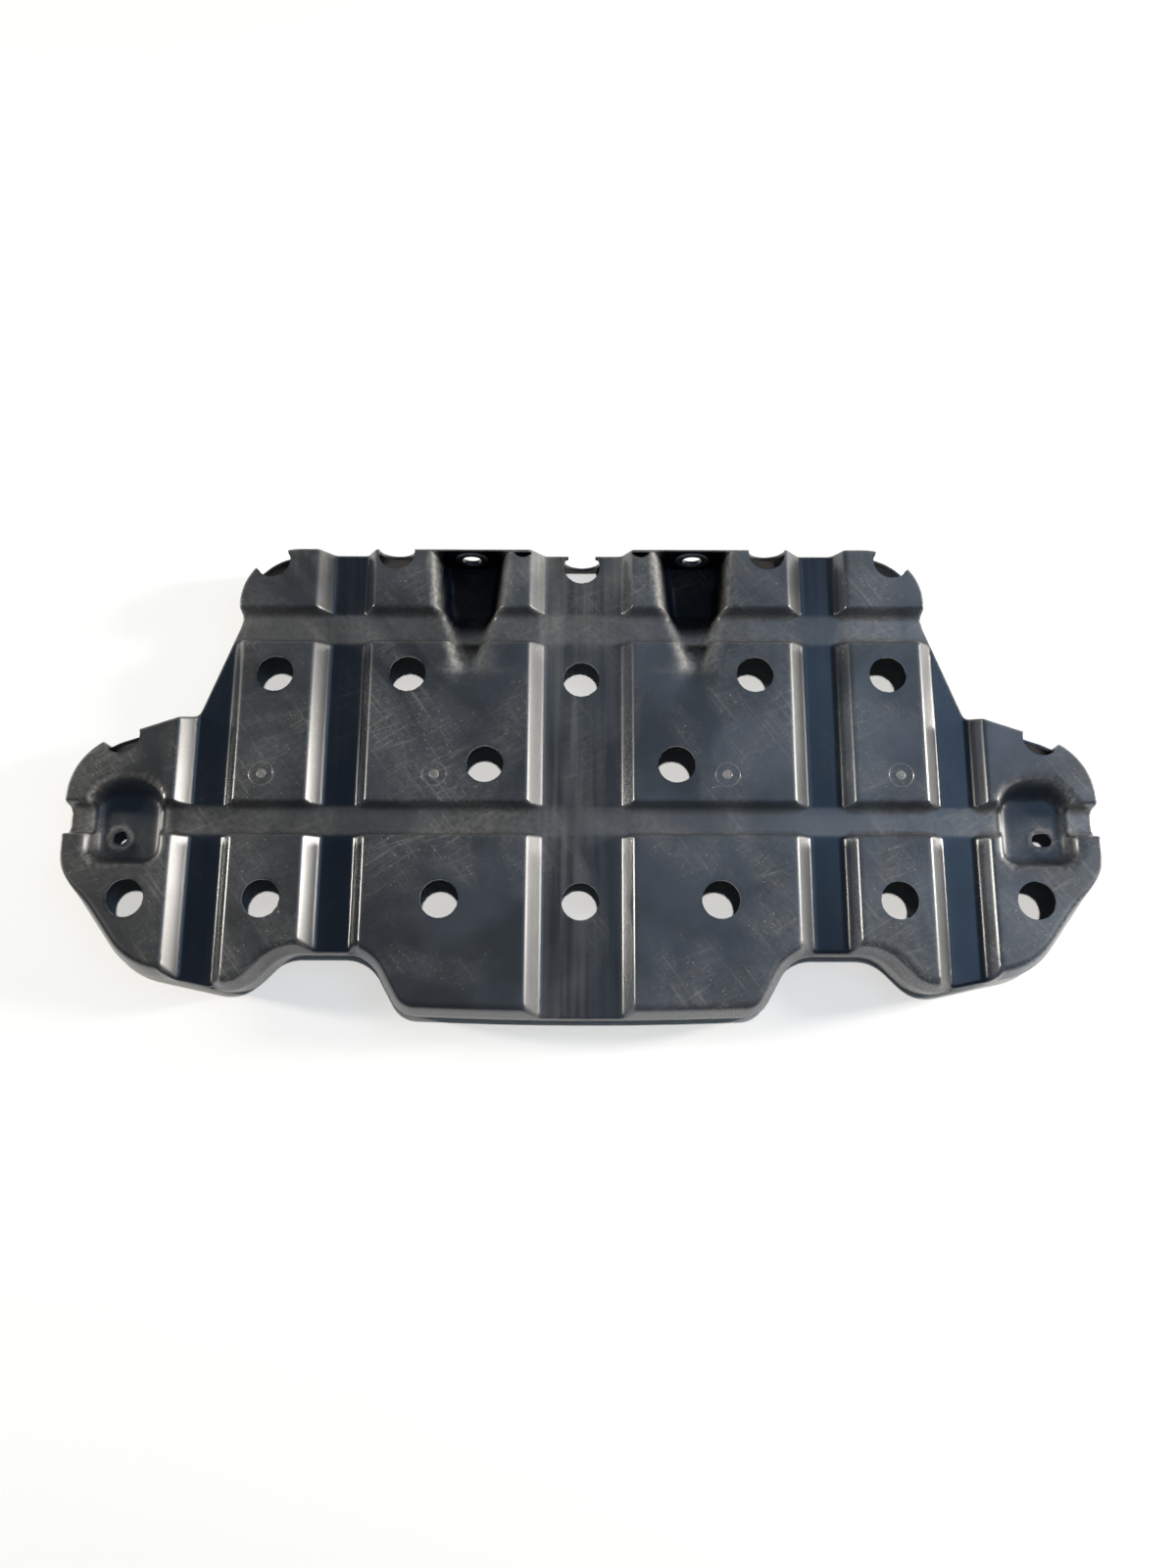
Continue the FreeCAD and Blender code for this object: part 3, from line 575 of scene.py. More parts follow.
# %% [markdown]
# ## Cutting the holes
# The real panel has drain holes, half-round notches in its edge and bolt holes, all with a
# crisp rim. Blender's boolean could cut them out of the mesh, but it leaves slivers that show
# in the reflections. Here a hole is a field: positive inside, negative outside, zero on its
# rim. Triangles that lie wholly inside go, and those that straddle the rim are cut along it.
# The new points are found by halving an edge again and again until they sit exactly on the
# rim, so it is round however coarse the grid is.

# %% Where the rim crosses an edge
HALVINGS = 18


def rim_share(field, points, low, high):
    """Share of the way from point low, outside the hole, to point high, inside it."""
    near, far = np.zeros(len(low)), np.ones(len(low))
    for _ in range(HALVINGS):
        middle = (near + far) / 2
        hit = field(points[low] + (points[high] - points[low]) * middle[:, None]) > 0
        near, far = np.where(hit, near, middle), np.where(hit, middle, far)
    return near[:, None]


print("a rim is found to", COARSE_Y * 0.5 ** HALVINGS, "mm")


# %% Cut a net with a field
def cut(outer, inner, faces, field):
    """Cuts away the part where field is positive, in the outer and the hidden skin alike.

    A straddling triangle has one corner p on its own side of the rim. Where p is outside the
    hole the small triangle at p stays, otherwise the four-sided rest of it stays.
    """
    value = field(outer)
    inside = value[faces] > 0
    total = inside.sum(1)
    straddles = (total > 0) & (total < 3)
    mixed, flags = faces[straddles], inside[straddles]
    if len(mixed) == 0:
        return outer, inner, faces[total == 0]
    alone_inside = flags.sum(1) == 1
    alone = np.where(alone_inside, flags.argmax(1), (~flags).argmax(1))
    p, q, r = (mixed[np.arange(len(mixed)), (alone + k) % 3] for k in range(3))
    crossed = np.sort(np.concatenate([np.stack([p, q], 1), np.stack([r, p], 1)]), axis=1)
    pairs, which = np.unique(crossed, axis=0, return_inverse=True)
    low, high = np.where(value[pairs[:, :1]] > 0, pairs[:, ::-1], pairs).T
    share = rim_share(field, outer, low, high)
    pq, rp = np.split(len(outer) + which.ravel(), 2)
    outer = np.concatenate([outer, outer[low] + (outer[high] - outer[low]) * share])
    inner = np.concatenate([inner, inner[low] + (inner[high] - inner[low]) * share])
    small = np.stack([p, pq, rp], 1)[~alone_inside]
    rest = [np.stack([q, r, rp], 1)[alone_inside], np.stack([q, rp, pq], 1)[alone_inside]]
    return outer, inner, np.concatenate([faces[total == 0], small] + rest)


print("triangles to cut", len(faces))


# %% [markdown]
# Each kind of opening has its own field, the radius less the distance from an axis, and some
# are limited to a level or a side so that they cut only one wall. The left cup has a round
# bolt hole and the right one a slot, which takes up small errors when the panel is fitted.

# %% Fields of the openings
HOLE_RADIUS = 15.75
REAR_FACE = 198.75  # a cut through the rear wall begins here
REAR_BOLT_X, REAR_BOLT_Z, REAR_BOLT_RADIUS = 97.7, 30.0, 8.5


def upright_hole(x, y, radius=HOLE_RADIUS, above=-9.0):
    """Along Z, one on the left and one on the right: inside its circle and above a level."""
    return lambda v: np.minimum(radius - np.hypot(np.abs(v[:, 0]) - x, v[:, 1] - y), v[:, 2] - above)


def level_hole(x, z, radius=HOLE_RADIUS, behind=REAR_FACE):
    """Along Y through the rear wall: inside its circle and behind a line."""
    return lambda v: np.minimum(radius - np.hypot(np.abs(v[:, 0]) - x, v[:, 2] - z), v[:, 1] - behind)


def small_notch(v):
    """A nick in the rear lip of the pads, in front of the wall."""
    return np.minimum(upright_hole(51.6, 203.5, 9.2, 40)(v), 199.3 - v[:, 1])


def slot(v):
    """The slot in the right cup: the distance from a short line along X."""
    return 5.5 - np.hypot(np.maximum(np.abs(v[:, 0] - BOLT_X) - 3.0, 0), v[:, 1] - BOLT_Y)


def round_bolt_hole(v):
    """The round hole in the left cup."""
    return 5.8 - np.hypot(v[:, 0] + BOLT_X, v[:, 1] - BOLT_Y)


print("drain hole", 2 * HOLE_RADIUS, "mm wide, rear bolt hole", 2 * REAR_BOLT_RADIUS, "mm wide")

# %% Cut the openings
DRAINS = [(0, 87.35), (148.5, 87.35), (261.7, 87.35), (80.7, 8.15),
          (0, -105.65), (115.4, -105.65), (261.6, -105.65), (373.0, -105.65)]
openings = [upright_hole(x, y) for x, y in DRAINS]
openings += [upright_hole(162.0, 198.75, above=44.5), level_hole(162.0, 45.7)]
openings += [upright_hole(270.5, 191.5, above=28.0), upright_hole(388.0, 32.5, above=28.0)]
openings += [upright_hole(0, 191.8, above=29.0), level_hole(0, 21.0)]
openings += [level_hole(REAR_BOLT_X, REAR_BOLT_Z, REAR_BOLT_RADIUS, 198.0)]
openings += [small_notch, slot, round_bolt_hole]
for opening in openings:
    outer, inner, faces = cut(outer, inner, faces, opening)
print("openings", len(openings), "triangles left", len(faces))

# %% [markdown]
# ## Closing the skin
# A moulded panel has a real thickness, which shows in every hole. The Solidify modifier could
# give it, but at the sides and the rear the rounded edge has a smaller radius than the wall is
# thick, and its hidden side would cross itself there, while ours is already worked out. Every
# edge that has a triangle on one side only is a rim: of a hole, of a notch or of the bottom of
# the wall. A strip from the outer to the hidden skin closes it. The two bolt holes in the rear
# wall get no strip, because the bolt seats further down bring a tube of their own.

# %% Strips round the rims
from_bolt = np.hypot(np.abs(outer[:, 0]) - REAR_BOLT_X, outer[:, 2] - REAR_BOLT_Z)
bolt_rim = (np.abs(from_bolt - REAR_BOLT_RADIUS) < 0.02) & (outer[:, 1] > 197.9)
directed = np.concatenate([faces[:, [0, 1]], faces[:, [1, 2]], faces[:, [2, 0]]])
_, edge_number, times_used = np.unique(np.sort(directed, axis=1), axis=0, return_inverse=True,
                                       return_counts=True)
rim = directed[times_used[edge_number.ravel()] == 1]
rim = rim[~(bolt_rim[rim[:, 0]] & bolt_rim[rim[:, 1]])]
n_outer = len(outer)
start, end = rim[:, 0], rim[:, 1]
strip = np.concatenate([np.stack([end, start, start + n_outer], 1),
                        np.stack([end, start + n_outer, end + n_outer], 1)])
verts = np.concatenate([outer, inner])
shell = np.concatenate([faces, faces[:, ::-1] + n_outer, strip])
print("rim edges", len(rim), "triangles", len(shell))

# %% [markdown]
# The numbers now become a mesh. Triangles with no area to speak of would give wild normals, so
# they go first. Points that no triangle uses are left out, millimetres turn into metres, and
# edges sharper than 60 degrees stay crisp while everything else is shaded smooth. The piece
# rides on the root body and replaces the CAD panel, which stays hidden.

# %% Build the shell
def drop_slivers(verts, tris):
    """Leaves out triangles whose doubled area is next to nothing."""
    side = np.cross(verts[tris[:, 1]] - verts[tris[:, 0]], verts[tris[:, 2]] - verts[tris[:, 0]])
    return tris[np.sqrt((side ** 2).sum(1)) > 2e-4]


def make_piece(name, verts, tris):
    """A mesh object in metres from points in millimetres, with unused points left out."""
    used = np.unique(tris)
    renumber = np.zeros(len(verts), int)
    renumber[used] = np.arange(len(used))
    mesh = bpy.data.meshes.new(name)
    mesh.from_pydata((verts[used] * 0.001).tolist(), [], renumber[tris].tolist())
    mesh.validate()
    mesh.polygons.foreach_set("use_smooth", np.ones(len(mesh.polygons), bool))
    mesh.set_sharp_from_angle(angle=math.radians(60))
    piece = bpy.data.objects.new(name, mesh)
    bpy.context.scene.collection.objects.link(piece)
    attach(piece, "root")
    return piece, used


shell = drop_slivers(verts, shell)
skin, used = make_piece("panel_skin", verts, shell)
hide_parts("shield_panel")
print("shell triangles", len(shell), "points", len(used))

# %% [markdown]
# ## Marks for the plastic
# Dust, dull spots and worn lips lie in certain places of the real panel: dust settles in the grooves and the
# middle channel, and hands and tools polish the lips. Other marks paint light and shade: painted shade on
# the floors and the hidden side, and painted highlights on the walls and lips that face right. They could be
# painted by hand in Texture Paint, but a mark worked out from the same sizes as the shape always fits it.
# Each mark is a number from 0 up on every point of the skin, kept in the mesh as an attribute
# that the material reads by name. First come the measures that all marks share: where a point
# lies, which way the surface faces there, and, as shares from 0 to 1, whether it is part of the
# middle channel, another channel, a groove, a trough or a cup.

# %% Measures for the marks
def between(u, low, high, rise, fall):
    """1 between low and high, rising and falling softly inside them."""
    return soft(u, low, low + rise) * soft(high - u, 0, fall)


def bell(u, centre, width):
    """1 at the centre, falling away on both sides as a bell curve does."""
    return np.exp(-((u - centre) / width) ** 2)


point_x, point_y, point_z = verts[used].T
from_middle = np.abs(point_x)
on_top = (used < n_outer).astype(float)
normals = np.zeros(len(used) * 3, np.float32)
skin.data.vertices.foreach_get("normal", normals)
facing_right, facing_up = normals[0::3], normals[2::3]
marks = {"pad": soft(facing_up, 0.90, 0.985) * on_top * soft(point_z, 42, 46)}
print("points", len(used), "on the pads", int((marks["pad"] > 0.5).sum()))

# %% Where the channels, grooves, troughs and cups are
middle = soft(40 - from_middle, 0, 6)  # floor of the middle channel
outer_floors = between(from_middle, 295, 337, 7, 5) * (point_y < OUTER_END)
channels = np.maximum(between(from_middle, 184, 226, 6, 5), outer_floors)  # the narrower ones
grooves = np.maximum(between(point_y, 117, 148, 5, 4), between(point_y, -52, -24, 4, 4))
trough_gap = trough_height(point_x, point_y) - (TOP - crossing_depth(point_x, point_y))
# The gap is negative inside a trough and zero at its lip. It means something only near a trough.
by_trough = (point_y > 78) & (point_y < 200.6) & (np.abs(from_middle - 97) < 46)
trough = soft(-trough_gap, 4, 14) * by_trough
cup_here = cup_depth(point_x, point_y)
cup = soft(cup_here, 3, 11) * soft(from_middle, 340, 348)
print("points in the troughs", int((trough > 0.5).sum()), "in the cups", int((cup > 0.5).sum()))

# %% [markdown]
# The lips of the troughs and cups, the rim of the bolt seats and the outer edge of the rear half are rubbed
# pale. A bell curve round the height of a lip marks it. On the lips of the troughs and cups it is stronger
# where the surface faces right, towards the light: that part is a painted highlight on top of the wear. The
# distance from the outline is slow to work out, so it is done only for the points that can be on the worn
# edge.

# %% Worn lips with a painted highlight, and dull cups
lip = bell(trough_gap, 4, 17.0) * by_trough * soft(point_z, 22, 38) * soft(point_y, 84, 98)
# Painted highlight: the lips of the troughs and cups get paler where they face the light from the right.
lip *= 0.30 + 0.70 * soft(facing_right, -0.10, 0.35)
cup_lip = bell(cup_here, 1.6, 1.4) * (cup_here > 0.05) * (0.5 + 0.5 * soft(facing_right, -0.3, 0.4))
seat_rim = bell(np.hypot(from_middle - BOLT_X, point_y - BOLT_Y), 9.3, 1.6)
lip = np.maximum.reduce([lip, 0.6 * cup_lip, 0.5 * seat_rim]) * on_top
marks["matte"] = np.clip(cup + 0.5 * lip, 0, 1) * on_top
worn_edge = np.zeros(len(used))
rear_top = (on_top > 0) & (facing_up > 0.2) & (point_z > 26) & (point_y > -75)
worn_edge[rear_top] = soft(3.4 - inside_distance(point_x[rear_top], point_y[rear_top]), 0.4, 2.4)
worn_edge *= soft(point_z, 26, 36) * soft(point_y, -75, -45)
marks["lip"] = np.maximum(lip, 0.42 * worn_edge)
print("worn points", int((marks["lip"] > 0.2).sum()))

# %% [markdown]
# The walls that face right carry the broad bands of light. More lamps could make the bands fuller, but they
# would change all other walls too. So a mark paints a highlight on just these walls: it makes them a little
# paler and duller, and a band fills its wall. The mark fades towards the rear edge and is strongest from the
# middle to the right.

# %% Painted highlight on the walls that face right
# A painted highlight: paler colour on the walls that face the light from the right.
wall = soft(facing_right, 0.35, 0.7) * (1 - grooves) * on_top * (1 - by_trough)
wall *= (point_z > 33.5) * (point_z < 47.4) * (from_middle < 345)
wall *= (1 - soft(point_y, 150, 175) * 0.5) * (1 + 1.6 * soft(point_x, -200, -20))
marks["wall"] = wall
print("points on lit walls", int((wall > 0.5).sum()))

# %% [markdown]
# Two kinds of dirt lie on the panel. Silt is the even, pale film that stays where water stood: in the
# grooves, along their feet, and beside the middle channel at the rear. The same mark also paints a thin
# highlight, in the colour of dust, along the front lip of each groove, where its wall faces the light. Dust
# is brushed into streaks by handling and lies in the middle channel, more of it on the left.

# %% Silt with a painted highlight on the groove lips, and dust
behind = point_y > 60
silt = 0.8 * grooves * (1 - trough) * (1 - cup)
# The rear groove holds more of it on the left, the front groove less at the left lobe.
silt *= (1 + 0.7 * soft(-point_x, 150, 260) * behind + 0.12 * soft(point_x, 40, 80)
         - 0.25 * soft(-point_x, 240, 300) * ~behind)
silt += 1.3 * bell(from_middle, 31, 13) * soft(point_y, 158, 196)  # feet of the middle channel
# Painted highlight: a thin pale line along the front lip of each groove, where the wall faces the light.
groove_lip_highlight = bell(point_y, 116, 1.3) + bell(point_y, -52.6, 1.2)  # the front lip of each groove
silt += 0.9 * groove_lip_highlight * (1 - channels) * (1 - middle) * (point_z > 44)
marks["silt"] = on_top * np.clip(silt, 0, 1.5) * (1 - 0.4 * channels * behind)
dust = middle * (0.82 - 0.014 * point_x) * (1 - 0.5 * grooves) + 0.45 * middle * soft(point_y, 120, 200)
dust += 0.3 * soft(point_y, 150, 200) * (1 - channels) * (1 - trough)
dust += channels * (0.05 + 0.22 * soft(point_y, 60, 190))
marks["dust"] = on_top * np.clip(dust, 0, 1)
print("mean silt", marks["silt"].mean().round(3), "mean dust", marks["dust"].mean().round(3))

# %% [markdown]
# The floors of the channels, troughs and cups get painted shade: a deep black with a painted blue reflection
# of the sky in it. It is stronger in the right half of the middle channel and at the rear of each cup, where
# walls would cast shadow. One mark says where, and the mark under paints a deeper shade where there is
# almost no light: on the hidden side and low down in the troughs.

# %% Painted shade on the floors and the hidden side
# Painted shade with a painted blue sky reflection: in the narrow channels, the right of the middle channel,
# the troughs and the rear of the cups.
gloom = channels * (1 - grooves) + (0.20 + 0.006 * point_x) * middle * (1 - grooves)
gloom = np.clip(gloom + trough + cup * (0.3 + 0.6 * soft(point_y, -58, -24)), 0, 1)
marks["gloom"] = np.maximum(gloom * on_top, 1 - on_top)
# Deeper painted shade low in the troughs, less on their walls that face right.
painted_trough_shade = 0.85 * trough * (1 - 0.7 * soft(facing_right, 0.1, 0.5))
marks["under"] = np.clip((1 - on_top) + painted_trough_shade, 0, 1)
for name, values in marks.items():
    layer = skin.data.attributes.new(name, "FLOAT", "POINT")
    layer.data.foreach_set("value", values.astype(np.float32))
print("marks", sorted(marks))

# %% [markdown]
# ## Bolt seats in the rear wall and gate marks
# Both are turned shapes on the real panel. A seat is a flat ring like a washer, moulded on to
# the rear wall, with the tube of the bolt hole in it. A gate mark is where the plastic entered
# the mould: a small nub in a thin ring. The Screw modifier could spin a profile, but a grid is
# as short: a profile of radius and height, carried round an axis through each centre.

# %% Bolt seats
ALONG_Y, ALONG_Z = 1, 2


def turned_shape(profile, centres, axis, segments=48):
    """Points at (radius * cos, radius * sin) round the axis and at the profile's height along it."""
    turn = np.linspace(0, 2 * math.pi, segments, endpoint=False)
    radius, along = np.array(profile, float).T
    block = np.zeros((len(radius), segments, 3))
    block[..., 0] = radius[:, None] * np.cos(turn)
    block[..., 3 - axis] = radius[:, None] * np.sin(turn)
    block[..., axis] = along[:, None]
    i, j = [g.ravel() for g in np.meshgrid(np.arange(len(radius) - 1), np.arange(segments), indexing="ij")]
    a, b = i * segments + j, i * segments + (j + 1) % segments
    c, d = b + segments, a + segments
    net = np.concatenate([np.stack([a, b, c], 1), np.stack([a, c, d], 1)])
    net = net if axis == ALONG_Z else net[:, ::-1]
    block = block.reshape(-1, 3)
    verts = np.concatenate([block + np.array(centre, float) for centre in centres])
    return verts, np.concatenate([net + k * len(block) for k in range(len(centres))])


seat_profile = [(14.6, 199.4), (14.2, 198.5), (13.6, 198.05), (9.3, 198.05), (8.6, 198.4), (8.5, 199.0),
                (8.5, 202.0), (8.6, 202.25)]
seat_centres = [(side_of_panel * REAR_BOLT_X, 0, REAR_BOLT_Z) for side_of_panel in (1, -1)]
seats, _ = make_piece("rear_bolt_seats", *turned_shape(seat_profile, seat_centres, ALONG_Y))
print("bolt seats", len(seat_centres), "triangles", len(seats.data.polygons))

# %% Gate marks
GATE_X, GATE_Y = (122.8, 267.5), -0.85
ring_profile = [(11.2, -0.25), (10.9, 0.05), (10.4, 0.22), (9.8, 0.24), (9.4, 0.06), (9.0, -0.2)]
nub_profile = [(4.4, -0.3), (3.9, 0.25), (3.2, 0.5), (2.6, 0.35), (1.9, 0.42), (1.2, 0.62), (0.5, 0.66),
               (0.02, 0.67)]
gates = [(x, GATE_Y, TOP + float(warp(x, GATE_Y))) for x in (*GATE_X, *(-x for x in GATE_X))]
ring_verts, ring_tris = turned_shape(ring_profile, gates, ALONG_Z)
nub_verts, nub_tris = turned_shape(nub_profile, gates, ALONG_Z, 32)
gate_marks, kept = make_piece("gate_marks", np.concatenate([ring_verts, nub_verts]),
                              np.concatenate([ring_tris, nub_tris + len(ring_verts)]))
worn = gate_marks.data.attributes.new("lip", "FLOAT", "POINT")
worn.data.foreach_set("value", np.where(kept < len(ring_verts), 0.25, 0.7).astype(np.float32))
print("gate marks", len(gates), "triangles", len(gate_marks.data.polygons))

# %% [markdown]
# ## Black moulded plastic
# The plastic is nearly black, satin where it is clean and dull where dust has settled. A flat colour would
# look like a toy, and an image could show only one side. Noise on the Object coordinates changes colour and
# roughness from place to place on all sides, and stretched noise makes the fine scratches. The marks on the
# points tell where the dust lies and where shade and highlights are painted. A few helpers keep the node
# tree readable: each adds one node and returns its output.

# %% Start of the material
def node(tree, kind, **values):
    """A new node with its settings, or with the values of its sockets where they bear that name."""
    made = tree.nodes.new(kind)
    for key, value in values.items():
        if key in made.inputs:
            made.inputs[key].default_value = value
        else:
            setattr(made, key, value)
    return made


def wire(tree, *pairs):
    """Links from outputs to inputs."""
    for source, target in pairs:
        tree.links.new(source, target)


plastic = bpy.data.materials.new("black_moulded_plastic")
plastic.use_nodes = True
tree = plastic.node_tree
shader = tree.nodes["Principled BSDF"]
coords = node(tree, "ShaderNodeTexCoord").outputs["Object"]
mark = {name: node(tree, "ShaderNodeAttribute", attribute_name=name).outputs["Fac"] for name in marks}
print("nodes that read a mark", len(mark))


# %% Patterns of the plastic
def noise(tree, coords, scale, detail, stretch=(1, 1, 1), turn=0.0, swirled=0.0):
    """Noise from 0 to 1. A Mapping of the kind Texture turns the pattern first, then stretches it."""
    mapping = node(tree, "ShaderNodeMapping", vector_type="TEXTURE")
    mapping.inputs["Scale"].default_value = stretch
    mapping.inputs["Rotation"].default_value = (0, 0, turn)
    grain = node(tree, "ShaderNodeTexNoise", Scale=scale, Detail=detail, Distortion=swirled)
    wire(tree, (coords, mapping.inputs["Vector"]), (mapping.outputs[0], grain.inputs["Vector"]))
    return grain.outputs["Fac"]


cloudy = noise(tree, coords, 14.0, 5.0)
swirl = noise(tree, coords, 8.0, 9.0, (1.0, 1.4, 1.0), 0.4, 1.6)
fine = noise(tree, coords, 260.0, 4.0)
specks = noise(tree, coords, 620.0, 2.0)
streaks = noise(tree, coords, 150.0, 5.0, (1.0, 28.0, 1.0))
print("nodes", len(tree.nodes))

# %% [markdown]
# The base colour wanders between a clean black and a faded one. Both are lighter and bluer towards the right
# of the panel, which is a painted sheen of blue sky light. The marks then paint shade on the floors and the
# hidden side.

# %% Base colour
# The right-hand colours carry a painted blue sheen.
FADED_LEFT, FADED_RIGHT = (0.0145, 0.0142, 0.0138, 1), (0.046, 0.057, 0.075, 1)
CLEAN_LEFT, CLEAN_RIGHT = (0.0095, 0.0095, 0.009, 1), (0.023, 0.029, 0.039, 1)
# Colours of the painted shade: a blue black for the floors and a plain black for the hidden side.
PAINTED_SHADE_BLACK, UNLIT_BLACK = (0.0035, 0.007, 0.014, 1), (0.001, 0.001, 0.001, 1)


def remap(tree, source, low, high, to_low=0.0, to_high=1.0):
    """Carries low to high over to to_low to to_high, and holds the ends."""
    step = node(tree, "ShaderNodeMapRange")
    for key, value in (("From Min", low), ("From Max", high), ("To Min", to_low), ("To Max", to_high)):
        step.inputs[key].default_value = value
    wire(tree, (source, step.inputs["Value"]))
    return step.outputs["Result"]


def blend(tree, factor, first, second):
    """A colour between two, either of which may be a plain colour."""
    mix = node(tree, "ShaderNodeMix", data_type="RGBA")
    for socket, value in ((mix.inputs[6], first), (mix.inputs[7], second)):
        if isinstance(value, tuple):
            socket.default_value = value
        else:
            wire(tree, (value, socket))
    wire(tree, (factor, mix.inputs[0]))
    return mix.outputs[2]


separate = node(tree, "ShaderNodeSeparateXYZ")
wire(tree, (coords, separate.inputs["Vector"]))
# Painted sheen: lighter and bluer towards the right.
painted_sky_sheen = remap(tree, separate.outputs["X"], -0.45, 0.36)
faded = blend(tree, painted_sky_sheen, FADED_LEFT, FADED_RIGHT)
clean = blend(tree, painted_sky_sheen, CLEAN_LEFT, CLEAN_RIGHT)
body = blend(tree, remap(tree, cloudy, 0.42, 0.60), clean, faded)
# Painted shade on the floors, then the deeper painted shade of the hidden side and the troughs.
body = blend(tree, mark["gloom"], body, PAINTED_SHADE_BLACK)
body = blend(tree, mark["under"], body, UNLIT_BLACK)
print("nodes", len(tree.nodes))

# %% [markdown]
# Over the colour lies a veil of everything pale: smudges, fine scratches in three directions, streaked dust,
# silt, worn lips and specks. It also holds painted highlights on the lips, on the walls that face right and
# along the front lip of each groove. Each is a pattern times its mark, and they are added up to one share
# between the black and the colour of dust. One share for all keeps the mix simple, and the same share also
# makes the surface duller.

# %% Smudges and scratches
SMUDGES, SCRATCHES = 0.125, 0.17  # share of pale in each at its strongest


def join(tree, operation, first, second):
    """A Math node on two sources, either of which may be a plain number."""
    calc = node(tree, "ShaderNodeMath", operation=operation)
    for socket, value in zip(calc.inputs, (first, second)):
        if isinstance(value, (int, float)):
            socket.default_value = value
        else:
            wire(tree, (value, socket))
    return calc.outputs[0]


def times(tree, first, second):
    """The product of two sources."""
    return join(tree, "MULTIPLY", first, second)


def plus(tree, first, second):
    """The sum of two sources."""
    return join(tree, "ADD", first, second)


def larger(tree, first, second):
    """The larger of two sources."""
    return join(tree, "MAXIMUM", first, second)


scratches = remap(tree, noise(tree, coords, 430.0, 2.0, (1.0, 32.0, 1.0), 0.65), 0.60, 0.68)
second = remap(tree, noise(tree, coords, 520.0, 2.0, (1.0, 26.0, 1.0), -1.0), 0.61, 0.69)
third = remap(tree, noise(tree, coords, 380.0, 2.0, (1.0, 36.0, 1.0), 1.9), 0.62, 0.70)
scratches = larger(tree, larger(tree, scratches, second), third)
scratches = times(tree, scratches, remap(tree, swirl, 0.46, 0.66))
smudge = times(tree, remap(tree, swirl, 0.44, 0.64), remap(tree, fine, 0.35, 0.65, 0.35, 1.0))
veil = plus(tree, times(tree, smudge, SMUDGES), times(tree, scratches, SCRATCHES))
# Fewer smudges and scratches where shade is painted.
veil = times(tree, veil, remap(tree, mark["gloom"], 0.0, 1.0, 1.0, 0.15))
print("nodes", len(tree.nodes))

# %% Dust, silt, worn lips, painted highlights and specks
DUST_COLOUR = (0.33, 0.315, 0.285, 1)
DUST, SILT_AND_LIP_HIGHLIGHT, LIP_WEAR_AND_HIGHLIGHT, LIT_WALLS, SPECKS = 0.20, 0.135, 0.75, 0.08, 0.7
brushed = times(tree, remap(tree, streaks, 0.38, 0.64, 0.25, 1.15), remap(tree, swirl, 0.3, 0.65, 0.45, 1.0))
veil = plus(tree, veil, times(tree, times(tree, mark["dust"], brushed), DUST))
# Silt, with the painted highlight along the groove lips.
settled = times(tree, remap(tree, swirl, 0.34, 0.62, 0.65, 1.15), remap(tree, fine, 0.3, 0.7, 0.75, 1.2))
veil = plus(tree, veil, times(tree, times(tree, mark["silt"], settled), SILT_AND_LIP_HIGHLIGHT))
# Worn lips, partly a painted highlight where they face right.
lip_wear_and_highlight = times(tree, mark["lip"], remap(tree, fine, 0.35, 0.62, 0.45, 1.0))
veil = plus(tree, veil, times(tree, lip_wear_and_highlight, LIP_WEAR_AND_HIGHLIGHT))
# The painted highlight on the walls that face right.
veil = plus(tree, veil, times(tree, mark["wall"], LIT_WALLS))
dots = times(tree, remap(tree, specks, 0.68, 0.74), remap(tree, swirl, 0.42, 0.58, 0.1, 1.0))
veil = plus(tree, veil, times(tree, times(tree, dots, SPECKS), mark["pad"]))
wire(tree, (blend(tree, veil, body, DUST_COLOUR), shader.inputs["Base Color"]))
print("nodes", len(tree.nodes))

# %% [markdown]
# Roughness decides how wide the bands of light are. The walls are smoother than the pads, which years of
# grit have dulled, and the cups are as dull as the pads. Where shade is painted, on the hidden side and low
# in the troughs, the black reflects less. A very low bump, a swirl with a fine grain in it, breaks the light
# a little.

# %% Roughness and relief
rough = plus(tree, remap(tree, cloudy, 0.3, 0.7, 0.23, 0.28), times(tree, veil, 0.25))
rough = plus(tree, rough, times(tree, mark["wall"], 0.04))
rough = plus(tree, rough, times(tree, mark["matte"], 0.22))
rough = plus(tree, rough, times(tree, mark["pad"], remap(tree, swirl, 0.3, 0.7, 0.18, 0.28)))
wire(tree, (rough, shader.inputs["Roughness"]))
wire(tree, (remap(tree, mark["under"], 0.0, 1.0, 0.95, 0.10), shader.inputs["Specular IOR Level"]))
bump = node(tree, "ShaderNodeBump", Strength=0.06, Distance=0.0005)
relief = plus(tree, times(tree, fine, 0.15), times(tree, swirl, 1.5))
wire(tree, (relief, bump.inputs["Height"]), (bump.outputs["Normal"], shader.inputs["Normal"]))
for piece in (skin, seats, gate_marks):
    piece.data.materials.append(plastic)
print("nodes in the plastic", len(tree.nodes))

# %% [markdown]
# ## Floor
# The panel stands on a pale floor, which keeps its soft shadow. A floor that ends shows its
# edge in low views, and one that glows white would throw its light on the panel. So further out
# it fades into an even white that only the camera sees.

